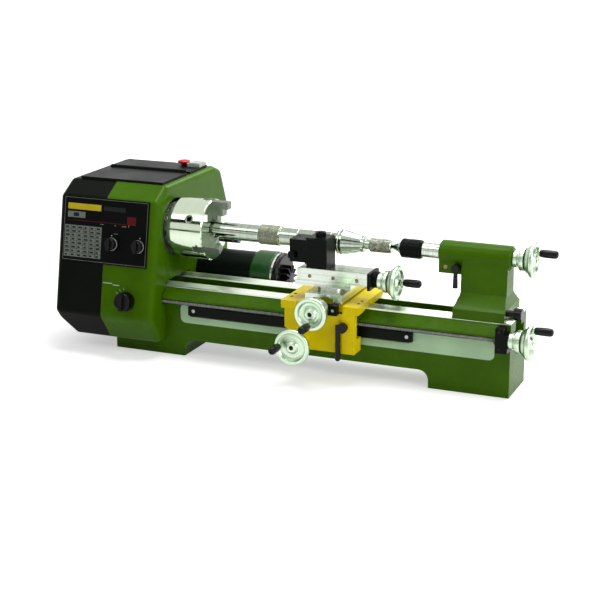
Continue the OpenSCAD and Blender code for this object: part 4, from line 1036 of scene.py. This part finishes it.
@dataclass
class Builder:
    """Puts surfaces into the scene as named pieces that ride on CAD bodies."""

    shop: Workshop
    frame: dict[str, Any]
    made: int = 0

    def piece(self, name: str, surface: Surface, finish: Finish, body: str, replaces: Sequence[str] = (),
              soft: bool = True) -> None:
        """Args:
            name: the piece's name.
            surface: its surface in the datum, in millimetres.
            finish: its finish.
            body: the CAD body that it rides on.
            replaces: CAD nodes that it stands for.
            soft: whether faces that meet at a slight angle are shaded as one.
        """
        rows = [face for table in surface.faces for face in table.tolist()]
        mesh = bpy.data.meshes.new(name)
        mesh.from_pydata(to_row(surface.points).tolist(), [], rows)
        mesh.validate()
        mesh.materials.append(self.shop.material(finish))
        made = bpy.data.objects.new(name, mesh)
        bpy.context.scene.collection.objects.link(made)
        if soft:
            mesh.polygons.foreach_set("use_smooth", np.ones(len(mesh.polygons), bool))
            mesh.set_sharp_from_angle(angle=SMOOTH_LIMIT)
            weighted = made.modifiers.new("flat faces stay flat", "WEIGHTED_NORMAL")
            weighted.keep_sharp = True
        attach(made, body)
        if replaces:
            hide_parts(*replaces)
        self.made += 1
        LOG.info("piece %s: %d faces on %s", name, len(rows), body)

    def skin(self, finish: Finish, *nodes: str) -> None:
        """Stands for CAD nodes with their own forms, their loose triangles joined so that curves are smooth.

        Args:
            finish: the nodes' finish.
            nodes: the CAD nodes.
        """
        for node in nodes:
            source = self.frame["nodes"][node]
            flat = np.empty(len(source.data.vertices) * 3, np.float32)
            source.data.vertices.foreach_get("co", flat)
            loops = np.empty(len(source.data.loops), np.int32)
            source.data.loops.foreach_get("vertex_index", loops)
            points = flat.reshape(-1, 3).astype(float)
            keys = np.round(points * MERGES_PER_M).astype(np.int64)
            _, first, where = np.unique(keys, axis=0, return_index=True, return_inverse=True)
            faces = where.ravel()[loops].reshape(-1, 3)
            whole = (faces != np.roll(faces, 1, 1)).all(1)
            shape = Surface(points[first] * MM_PER_M - DATUM, (faces[whole],))
            self.piece(node + ".skin", shape, finish, source["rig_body"], (node,))

    def dress(self, node: str, finish: Finish) -> None:
        """Gives a CAD node that stays as it is its material.

        Args:
            node: the CAD node.
            finish: its finish.
        """
        source = self.frame["nodes"][node]
        source.data.materials.clear()
        source.data.materials.append(self.shop.material(finish))


# --- Sub-assemblies ---


@dataclass(frozen=True)
class Handwheel:
    """A turned wheel with collar, graduated dial, flared web, rim and a crank grip on a pin.

    The node and grip are CAD nodes and bodies, and the body is named where the wheel's differs from its node.
    """

    node: str
    grip: str
    diameter: float
    reach: float
    pin_angle: float
    place: Placement
    metal: Finish
    body: str = ""
    dial: float = 35.0
    collar: float = 13.0
    hub: float = 9.0
    pin_in: float = 8.0
    screw: Point = (0.0, 0.0, 1.0)
    marks: tuple[float, ...] = (4.2, 2.2, 2.2, 2.2, 2.2, 3.2, 2.2, 2.2, 2.2, 2.2)

    def _wheel(self) -> Surface:
        """The wheel's turned form.

        Returns:
            Collar, dial, web, rim and hub as one surface.
        """
        r, c, d, h = self.diameter / 2, self.collar, self.dial / 2, self.hub
        neck = [(0, 0), (c - 1, 0), (c, 1), (c, 7), (c - 2, 7.6), (c - 2, 9.4), (d - 1.4, 10), (d, 11.2)]
        web = [(d, -16.5), (d - 0.7, -16), (d - 0.7, -15), (d + 0.4, -14.2), (d + 3.2, -12), (r - 4.5, -8.6),
               (r - 1, -6.6), (r, -5), (r, -1.6), (r - 1.4, 0), (r - 6, 0), (r - 8, -3.2), (r - 12, -4.2),
               (h + 2, -3.6), (h, -1), (h - 2, 0.9), (3.6, 1), (3.2, -1.4), (0, -1.4)]
        return turned(neck + self._from_rim(web), 0.8, 96)

    def _from_rim(self, profile: Sequence[tuple[float, float]]) -> list[tuple[float, float]]:
        """A profile whose places along the axis are counted from the rim's face."""
        return [(r, self.reach + a) for r, a in profile]

    def build(self, b: Builder) -> None:
        """Builds the wheel, its marks, its hub screw, its pin and its grip.

        Args:
            b: the builder.
        """
        name, body, d = self.node + ".turned", self.body or self.node, self.dial / 2
        out, t = self.diameter / 2 - self.pin_in, math.radians(self.pin_angle)
        offset = (0, out * math.cos(t), out * math.sin(t))
        pin = self._from_rim([(0, -6), (5, -5), (5, 0.8), (4.4, 1.2), (3, 1.2), (3, 22), (0, 22.4)])
        parts = [self._wheel(), turned(pin, 0.4, 32).moved(offset)]
        start, stop, radius = self.screw
        if stop > start:
            parts.append(thread(radius, -stop, -start, 1.5 if radius > 4.5 else 1.0, 0.45))
        b.piece(name, join(parts).placed(self.place), self.metal, body, (self.node,))
        marks = ring_marks(50, d, 11.6, self.marks)
        b.piece(name + ".marks", marks.placed(self.place), BLACK, body, soft=False)
        band = self._from_rim([(d - 0.5, -16.2), (d + 0.15, -16), (d + 0.15, -14.7), (d - 0.5, -14.5)])
        b.piece(name + ".band", turned(band, 0.1, 64, True).placed(self.place), BLACK, body)
        hub = cap_screw(3.1, 2.2, 1.5, 1.4).moved((self.reach - 1.5, 0, 0))
        b.piece(name + ".screw", hub.placed(self.place), BLACK_SCREW, body)
        grip = self._from_rim([
            (3.2, 1.3), (4.6, 1.3), (5.6, 2.5), (6.1, 6.3), (6.4, 13.3), (6.5, 21.3), (6.2, 25.8),
            (5.0, 28.5), (3.4, 29.3), (2.2, 29.2), (2.0, 27.9), (0, 27.9)])
        shape = turned(grip, 1.0, 40).moved(offset).placed(self.place)
        b.piece(name + ".grip", shape, BLACK, self.grip, (self.grip,))


@dataclass(frozen=True)
class SpindleGroup:
    """Spindle, chuck, jaws and the workpiece between the chuck and the live centre."""

    work_radius: float = 14.0
    collar: float = 20.0
    tip_radius: float = 11.0

    def build(self, b: Builder) -> None:
        """Builds the group. The turned workpiece has two knurled bands, a collar, a taper and a neck.

        Args:
            b: the builder.
        """
        b.skin(CHUCK, "chuck_body")
        # The chuck key socket takes the darker jaw steel as painted shade in its recess.
        b.skin(JAW_AND_SOCKET_SHADE, "jaw_1", "jaw_2", "jaw_3", "chuck_key_socket")
        b.skin(STEEL, "spindle", "spindle_pulley", "spindle_gear")
        r, c, e = self.work_radius, self.collar, self.tip_radius
        first = [(0, -20), (r, -20), (r, 82.6), (r + 1.4, 83.4), (r + 2, 84.2), (r + 2, 84.6)]
        middle = [
            (r + 2, 118.4), (r + 2, 118.9), (r + 1.2, 119.6), (r, 120.4), (r, 150), (r - 0.4, 150.6),
            (r - 0.4, 152.2), (r, 152.8), (r, 206), (r - 0.5, 206.6), (r - 0.5, 216.4), (c - 1, 218),
            (c, 219), (c, 221.6), (c - 0.6, 222.1), (c - 0.6, 223), (c, 223.5), (c, 227.6),
            (c - 0.6, 228.4), (r - 0.7, 256), (r - 1, 257), (r - 1, 261.4), (r - 2, 262.2), (8.2, 262.8),
            (8, 263.4), (8, 270.4), (9.4, 271.2), (e - 0.1, 272), (e, 272.6)]
        last = [(e, 304.9), (e, 305.9), (e - 1, 307), (2.4, 307), (0, 303)]
        smooth = [turned(first, 0.3, 96), turned(middle, 0.4, 96), turned(last, 0.2, 96)]
        b.piece("workpiece.turned", join(smooth), WORK, "spindle", ("workpiece",))
        bands = [knurl(r + 2, 84.6, 118.4, 1.3, 0.42), knurl(e, 272.6, 304.9, 1.1, 0.34)]
        b.piece("workpiece.knurls", join(bands), KNURLED, "spindle")


@dataclass(frozen=True)
class Headstock:
    """Housing, end cover, lid, control panel, stop button and what is inside.

    The front leans back from its foot, and prints stand on the panel from film_low to film_high.
    """

    lean: float = math.atan(37.0 / 189.0)
    foot_y: float = -60.0
    foot_z: float = 51.0
    film_low: float = 1.95
    film_high: float = 2.08
    film_edge: float = 0.03
    half_width: float = 77.0
    half_height: float = 51.5
    line: float = 0.7
    panel: tuple[float, float] = (-163.0, -2.0)
    knob: tuple[float, float] = (-118.0, -110.0)
    switches: tuple[tuple[str, float], ...] = (("main_switch", -148.0), ("direction_switch", -99.0))
    switch_z: float = -21.0
    dots_x: tuple[float, ...] = (-150.0, -98.0)
    dots_z: float = -7.6
    dot_radius: float = 1.1
    top_z: float = 74.3

    def on_front(self, x: float, z: float) -> Placement:
        """A placement on the leaning front.

        Args:
            x: place along the bed.
            z: height.

        Returns:
            Axes with a outward, u along the bed and v up the front.
        """
        c, s = math.cos(self.lean), math.sin(self.lean)
        y = self.foot_y + (z - self.foot_z) * math.tan(self.lean)
        return Placement((x, y, z), (0, -c, s), (1, 0, 0), (0, s, c))

    def build(self, b: Builder) -> None:
        """Builds the headstock's pieces.

        Args:
            b: the builder.
        """
        b.skin(GREEN, "headstock_casing")
        b.skin(DARK, "end_cover", "top_plate", "belt_lid")
        b.skin(PALE_MOULDING_AND_HIGHLIGHT, "estop_box")
        b.skin(RED, "estop_button")
        b.skin(BLACK, "main_switch", "direction_switch", "feed_knob", "power_inlet")
        b.skin(PANEL, "control_panel")
        b.dress("headstock_frame", CAST)
        b.skin(STEEL, "spindle_bearings", "motor_pulley", "idler_gear", "feed_gear")
        b.skin(RUBBER, "drive_belt")
        heads = [ALONG_Z.at((x, y, self.top_z)) for x in (-224.0, -148.0) for y in (85.0, 128.0)]
        b.piece("top_plate.screws", copies(cap_screw(2.8, 1.5, 1.3, 1.0), heads), BLACK_SCREW, "bed")
        self._panel(b)
        self._scale(b)

    def _print(self, b: Builder, name: str, boxes: Sequence[Box], finish: Finish, rise: float = 0.0) -> None:
        """Prints thin rounded films on the panel. None of them carries words.

        Args:
            b: the builder.
            name: the piece's name after the word panel.
            boxes: left, bottom, right and top of each film.
            finish: the films' finish.
            rise: how much higher than the others they stand.
        """
        high = self.film_high + rise
        films = [prism(rectangle(*box), self.film_low, high, self.film_edge, 2) for box in boxes]
        b.piece("panel." + name, join(films).placed(self.on_front(*self.panel)), finish, "bed", soft=False)

    def _panel(self, b: Builder) -> None:
        """Builds the panel's printed areas, and the pale rings on the switch knobs' rims with dots above
        them, which are painted highlights.

        Args:
            b: the builder.
        """
        w, h, t = self.half_width, self.half_height, self.line
        border = [(-w, h - t, w, h), (-w, -h, w, t - h), (-w, t - h, t - w, h - t), (w - t, t - h, w, h - t)]
        self._print(b, "border", border, GREY_PRINT)
        self._print(b, "bar", [(-71, 32, -9, 42)], YELLOW_PRINT)
        self._print(b, "plate", [(-4, 33.5, 36, 40.5)], DARK_PRINT)
        self._print(b, "line", [(-71, 13.6, 56, 14.6), (40, 14.6, 56, 27)], MAROON_PRINT)
        self._print(b, "sign", [(-71, 18.5, -38, 28.5)], GREY_PRINT)
        self._print(b, "mark", [(-60, 20.5, -50, 26.5)], DARK_PRINT, 0.04)
        left, low, right, top, col, row = -75, -46, -6, 6, 11.5, 6.5
        self._print(b, "table", [(left, low, right, top)], GREY_PRINT)
        lines = [(left + col * i, low, left + 0.6 + col * i, top) for i in range(1, 6)]
        lines += [(left, low + row * k, right, low + 0.6 + row * k) for k in range(1, 8)]
        corners = [(left + 2 + col * i, low + 1.6 + row * k, (5 * i + 3 * k) % 4)
                   for i in range(6) for k in range(8)]
        cells = [(u, v, u + 4.2 + more, v + 2.8) for u, v, more in corners]
        self._print(b, "cells", lines + cells, DARK_PRINT, 0.04)
        for name, x in self.switches:
            # Each ring is a painted highlight on the knob's rim.
            ring = turned([(9.3, 4.97), (10.5, 4.97), (10.5, 5.12), (9.3, 5.12)], self.film_edge, 48, True)
            b.piece(name + ".ring", ring.placed(self.on_front(x, self.switch_z)), PALE_MOULDING_AND_HIGHLIGHT, name)
        low, high = self.film_low, self.film_high
        radius = self.dot_radius
        # The dots above the knobs are painted highlights too.
        dot = turned([(0, low), (radius, low), (radius, high), (0, high)], self.film_edge, 24)
        dots = copies(dot, [self.on_front(x, self.dots_z) for x in self.dots_x])
        b.piece("panel.dots", dots, PALE_MOULDING_AND_HIGHLIGHT, "bed", soft=False)
        ticks = [(17, 10, 20, 11.4), (31, 10, 39, 11.4), (17, -3, 24, -1.8), (43, 9.5, 44.2, 14),
                 (-10, 10.4, -3, 11.4)]
        self._print(b, "ticks", ticks, GREY_PRINT)

    def _scale(self, b: Builder) -> None:
        """Builds the feed knob's scale: short bars on an arc over the knob, and long bars at its left.

        Args:
            b: the builder.
        """
        outlines = [rectangle(-44, 25.6, -27, 27.4), rectangle(-26, 23.6, -14, 25.2)]
        bar = np.array([[18.5, -0.5], [22.5, -0.5], [22.5, 0.5], [18.5, 0.5]])
        for angle in (105, 125, 145):
            c, s = math.cos(math.radians(angle)), math.sin(math.radians(angle))
            outlines.append(fillet(bar @ np.array([[c, s], [-s, c]]), 0.2, 2))
        marks = join([prism(outline, -0.05, 0.12, self.film_edge, 2) for outline in outlines])
        b.piece("feed_knob.scale", marks.placed(self.on_front(*self.knob)), PALE_MOULDING_AND_HIGHLIGHT, "bed", soft=False)


@dataclass(frozen=True)
class BedGroup:
    """Bed with its trim, rack, bracket and screws, whose heads stand in counterbores of a depth."""

    sunk: float = 2.9
    rack_x: tuple[float, ...] = (-17.0, 166.0, 349.0)
    rack_z: float = -127.0
    bracket_x: float = 498.0
    bracket_z: tuple[float, ...] = (-126.0, -98.0)

    def build(self, b: Builder) -> None:
        """Builds the bed's pieces.

        Args:
            b: the builder.
        """
        b.skin(BED_GREEN, "bed")
        b.skin(TRIM, "front_trim")
        b.skin(BLACK_STEEL, "rack", "leadscrew_bracket")
        heads = [FRONT_WHEEL.at((x, -51.0, self.rack_z)) for x in self.rack_x]
        head = cap_screw(3.1, 2.6, 1.4, 1.5).moved((-self.sunk, 0, 0))
        b.piece("rack.screws", copies(head, heads), SCREW, "bed")
        heads = [FRONT_WHEEL.at((self.bracket_x, -63.5, z)) for z in self.bracket_z]
        head = cap_screw(2.5, 2.6, 1.2, 1.5).moved((-self.sunk, 0, 0))
        b.piece("bracket.screws", copies(head, heads), BLACK_SCREW, "bed")


@dataclass(frozen=True)
class MotorGroup:
    """Motor body with end bell, bright ring, black cap and fan end."""

    radius: float = 43.0
    start: float = -167.0
    end: float = 79.0
    fins: int = 12
    axis: Placement = ALONG_X.at((0.0, 105.0, -100.0))

    def build(self, b: Builder) -> None:
        """Builds the motor.

        Args:
            b: the builder.
        """
        r, x0, x1 = self.radius, self.start, self.end
        bell = turned([(0, x1 - 51), (r - 4, x1 - 51), (r - 1.4, x1 - 49.6), (r, x1 - 47), (r, x1 - 14),
                       (r - 0.8, x1 - 12.7), (r - 2.4, x1 - 12.2), (0, x1 - 12.2)], 1.0, 96)
        b.piece("motor.body", bell.placed(self.axis), MOTOR_GREEN, "bed", ("motor",))
        shell = turned([(0, x0), (r - 6, x0), (r - 4, x0 + 2), (r - 4, x1 - 50.2), (r - 5, x1 - 50),
                        (0, x1 - 50)], 1.0, 96)
        b.piece("motor.shell", shell.placed(self.axis), BLACK_STEEL, "bed")
        ring = turned([(r - 3, x1 - 12.4), (r - 1.6, x1 - 12), (r - 1.6, x1 - 8.8), (r - 3, x1 - 8.4),
                       (r - 8, x1 - 8.4), (r - 8, x1 - 12.4)], 0.3, 96, True)
        b.piece("motor.ring", ring.placed(self.axis), STEEL, "bed")
        cap = turned([(0, x1 - 9), (r - 3, x1 - 9), (r - 1.2, x1 - 8), (r - 1, x1 - 7), (r - 1, x1 - 4.4),
                      (r - 2.4, x1 - 2), (r - 5, x1), (0, x1)], 1.0, 96)
        fin = prism(rectangle(-1.5, 9, 1.5, 22, 0.6), x1 - 1, x1 + 12, 0.8)
        fins = copies(fin, [Placement(side=(0, math.cos(t), math.sin(t)), up=(0, -math.sin(t), math.cos(t)))
                            for t in angles(self.fins)])
        hub = turned([(0, x1 - 1), (10, x1 - 1), (10, x1 + 11), (9, x1 + 12), (0, x1 + 12)], 0.8, 48)
        b.piece("motor.cap", join([cap, fins, hub]).placed(self.axis), BLACK, "bed")


@dataclass(frozen=True)
class Feed:
    """Leadscrew and its handwheel."""

    axis: Placement = ALONG_X.at((0.0, -51.5, -113.0))
    wheel: Handwheel = Handwheel("leadscrew_wheel", "leadscrew_grip", 54, 35, 162,
                                 END_WHEEL.at((511.3, -51.5, -113.0)), END_ALLOY, "leadscrew")

    def build(self, b: Builder) -> None:
        """Builds the leadscrew and its wheel.

        Args:
            b: the builder.
        """
        ends = turned([(0, -119), (3, -119), (4, -118), (4, -97), (4.4, -96.4), (4.4, -95), (0, -95)],
                      0.3, 32)
        tail = turned([(0, 489), (4, 489), (4, 511.3), (0, 511.3)], 0.3, 32)
        rod = join([ends, thread(5.0, -96.0, 490.8, 3.0, 0.8, 24), tail]).placed(self.axis)
        # The rod's darker steel is painted shade from the bed's lip.
        b.piece("leadscrew.thread", rod, SHADED_LEADSCREW, "leadscrew", ("leadscrew",))
        self.wheel.build(b)


@dataclass(frozen=True)
class Carriage:
    """Saddle, apron, cross slide, compound slide, tool post and their controls."""

    wheels: tuple[Handwheel, ...] = (
        Handwheel("carriage_wheel", "carriage_grip", 58, 31, 180, FRONT_WHEEL.at((184.0, -84.1, -145.0)),
                  CARRIAGE_ALLOY),
        Handwheel("cross_wheel", "cross_grip", 52, 44, 262, FRONT_WHEEL.at((224.0, -92.1, -81.4)),
                  CROSS_ALLOY, screw=(-1.0, 130.0, 3.0)),
        Handwheel("compound_wheel", "compound_grip", 54, 33, 78, END_WHEEL.at((300.1, -42.0, -44.9)),
                  COMPOUND_ALLOY, screw=(-1.0, 93.0, 4.0)))

    def build(self, b: Builder) -> None:
        """Builds the carriage's pieces.

        Args:
            b: the builder.
        """
        b.skin(YELLOW, "saddle", "apron")
        b.skin(BLACK_STEEL, "cross_bracket", "compound_bracket", "tool_post", "tool_holder")
        b.skin(SLIDE, "cross_slide")
        b.skin(COMPOUND, "compound_base", "compound_slide")
        b.skin(STEEL, "carriage_pinion")
        b.skin(BRONZE, "half_nut")
        b.skin(BLACK, "half_nut_lever")
        for wheel in self.wheels:
            wheel.build(b)
        heads = [ALONG_Z.at((x, y, -82.0)) for x in (161.0, 273.0) for y in (-58.0, -42.0)]
        b.piece("saddle.screws", copies(cap_screw(2.9, 2.2, 1.3, 1.4), heads), BLACK_SCREW, "carriage")
        heads = [FRONT_WHEEL.at((x, -89.0, -85.4)) for x in (213.0, 243.0)]
        b.piece("cross_bracket.screws", copies(cap_screw(2.5, 2.8, 1.2, 1.4), heads), SCREW, "carriage")
        heads = [FRONT_WHEEL.at((193.0 + 39 * k, -58.0, -42.9)) for k in range(3)]
        b.piece("compound.gib_screws", copies(cap_screw(2.8, 2.4, 1.3, 1.4), heads), BRASS, "compound_slide")
        heads = [ALONG_Z.at((165.0, -51.0 + 16 * k, 3.5)) for k in range(2)]
        b.piece("tool_holder.bolts", copies(cap_screw(3.0, 6.5, 1.5, 3.0), heads), SCREW, "compound_slide")


@dataclass(frozen=True)
class Tailstock:
    """Tailstock casting, quill, live centre, handwheel and clamps."""

    key: Placement = FRONT_WHEEL.at((398.0, -15.0, -19.0))
    wheel: Handwheel = Handwheel("tail_wheel", "tail_grip", 54, 34, 112, END_WHEEL.at((500.1, 0.0, 0.0)),
                                 TAIL_ALLOY, screw=(-1.0, 61.0, 5.0))

    def build(self, b: Builder) -> None:
        """Builds the tailstock's pieces. The live centre is a bright cone in a black head.

        Args:
            b: the builder.
        """
        b.skin(GREEN, "tailstock")
        b.dress("tailstock_clamp_plate", CAST)
        b.skin(STEEL, "quill")
        b.skin(BLACK, "quill_lock", "tail_clamp")
        key = cap_screw(3.4, 1.6, 1.7, 1.2).moved((-0.3, 0, 0))
        b.piece("tailstock.key_screw", key.placed(self.key), BRASS, "tailstock")
        cone = turned([(0, 303.3), (10.6, 321.6), (11.2, 322), (0, 322)], 0.3, 64)
        b.piece("live_centre.point", cone, STEEL, "live_centre", ("live_centre",))
        head = turned([(0, 321.4), (10.9, 321.4), (13, 322.4), (15, 324.4), (15, 334), (14.5, 334.6),
                       (14.5, 336), (15, 336.6), (15, 353.4), (13.4, 356.2), (6.2, 356.4), (6.1, 343),
                       (0, 343)], 0.5, 64)
        b.piece("live_centre.head", head, BLACK_STEEL, "live_centre")
        self.wheel.build(b)


@dataclass(frozen=True)
class Studio:
    """Camera, floor, background and light, in the row frame in metres.

    Each lamp has its name, its place, what it points at, its side and its power in watts.
    """

    eye: Point = (0.87944, -2.11539, 0.77979)
    look: Point = (-0.3763, 0.8825, -0.282)
    roll: float = -0.34
    sensor: float = 36.0
    half_width: float = 300.0 / 1489.4
    ambient: float = 0.34
    floor: float = 30.0
    card_y: float = -4.0
    card_x: float = 5.0
    cards: tuple[tuple[str, float, float], ...] = (("card.low", 0.02, 0.45), ("card.high", 2.2, 3.7))
    lamps: tuple[tuple[str, Point, Point, float, float], ...] = (
        ("top", (0.1, 0.2, 2.6), (0.0, 0.0, 0.15), 1.2, 40.0),
        ("back", (0.5, 1.9, 2.0), (0.0, 0.0, 0.15), 1.6, 44.0),
        ("key", (-1.0, -1.7, 2.3), (0.0, 0.0, 0.15), 1.2, 10.0),
        ("right", (2.6, -0.7, 1.3), (0.1, 0.0, 0.15), 1.1, 27.0))

    def build(self, shop: Workshop) -> None:
        """Builds the studio.

        Args:
            shop: the workshop.
        """
        bpy.context.scene.view_settings.view_transform = "Standard"
        self._camera()
        self._sheets(shop)
        self._world()
        self._lamps()

    def _camera(self) -> None:
        """Sets the camera at the photograph's angle."""
        data = bpy.data.cameras.new("photo camera")
        data.sensor_width = self.sensor
        data.lens = self.sensor / 2 / self.half_width
        data.clip_start, data.clip_end = 0.05, 60.0
        camera = bpy.data.objects.new("photo camera", data)
        camera.location = self.eye
        turn = Vector(self.look).to_track_quat("-Z", "Y").to_matrix()
        tilt = Matrix.Rotation(math.radians(self.roll), 3, "Z")
        camera.rotation_euler = (turn @ tilt).to_euler()
        bpy.context.scene.collection.objects.link(camera)
        bpy.context.scene.camera = camera

    def _sheets(self, shop: Workshop) -> None:
        """Lays a white floor at the height of the feet and hangs dark cards behind the camera for the metal.

        Args:
            shop: the workshop.
        """
        dark = plastic("dark card", colour(12, 16, 8), roughness=0.9, specular=0.0, bump=0.0)
        s, x, y = self.floor, self.card_x, self.card_y
        rows = [("floor", [(-s, -s, 0), (s, -s, 0), (s, s, 0), (-s, s, 0)], WhiteFloor("floor"))]
        for name, low, high in self.cards:
            rows.append((name, [(-x, y, low), (x, y, low), (x, y, high), (-x, y, high)], dark))
        for name, corners, finish in rows:
            mesh = bpy.data.meshes.new(name)
            mesh.from_pydata(corners, [], [(0, 1, 2, 3)])
            mesh.materials.append(shop.material(finish))
            sheet = bpy.data.objects.new(name, mesh)
            bpy.context.scene.collection.objects.link(sheet)
            sheet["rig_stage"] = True
            sheet.visible_camera = name == "floor"

    def _world(self) -> None:
        """Lights the scene from all round and shows white behind it."""
        world = bpy.data.worlds.new("studio")
        world.use_nodes = True
        world.node_tree.nodes.clear()
        g = Graph(world.node_tree)
        rise = g.add("SeparateXYZ", Vector=g.add("TexCoord").outputs["Generated"]).outputs[2]
        sky = g.mix(g.ramp(rise, -0.1, 0.9), (0.52, 0.52, 0.52, 1.0), WHITE)
        soft = g.add("Background", Color=sky, Strength=self.ambient)
        white = g.add("Background", Color=WHITE, Strength=1.0)
        both = g.add("MixShader", i0=g.shown(), i1=soft.outputs[0], i2=white.outputs[0])
        g.add("OutputWorld", Surface=both.outputs[0])
        bpy.context.scene.world = world

    def _lamps(self) -> None:
        """Hangs the soft square lamps."""
        for name, place, aim, size, power in self.lamps:
            data = bpy.data.lights.new(name, "AREA")
            data.shape, data.size, data.energy = "SQUARE", size, power
            lamp = bpy.data.objects.new(name, data)
            lamp.location = place
            lamp.rotation_euler = (Vector(aim) - Vector(place)).to_track_quat("-Z", "Y").to_euler()
            bpy.context.scene.collection.objects.link(lamp)


def write_size(name: str, sizes: dict[str, list[list[float]]]) -> None:
    """Args:
        name: which moment they belong to.
        sizes: what is kept so far. It is changed.
    """
    low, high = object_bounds()
    sizes[name] = [[round(v, 6) for v in low], [round(v, 6) for v in high]]


def main() -> None:
    """Loads the frame and builds every sub-assembly and the studio."""
    logging.basicConfig(level=logging.INFO, format="%(message)s")
    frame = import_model()
    sizes: dict[str, list[list[float]]] = {}
    write_size("frame", sizes)
    builder = Builder(Workshop(), frame)
    for group in (BedGroup(), Headstock(), MotorGroup(), SpindleGroup(), Feed(), Carriage(), Tailstock()):
        group.build(builder)
        LOG.info("built %s", type(group).__name__)
    Studio().build(builder.shop)
    write_size("dressed", sizes)
    LOG.info("%d pieces", builder.made)


if __name__ == "__main__":
    main()
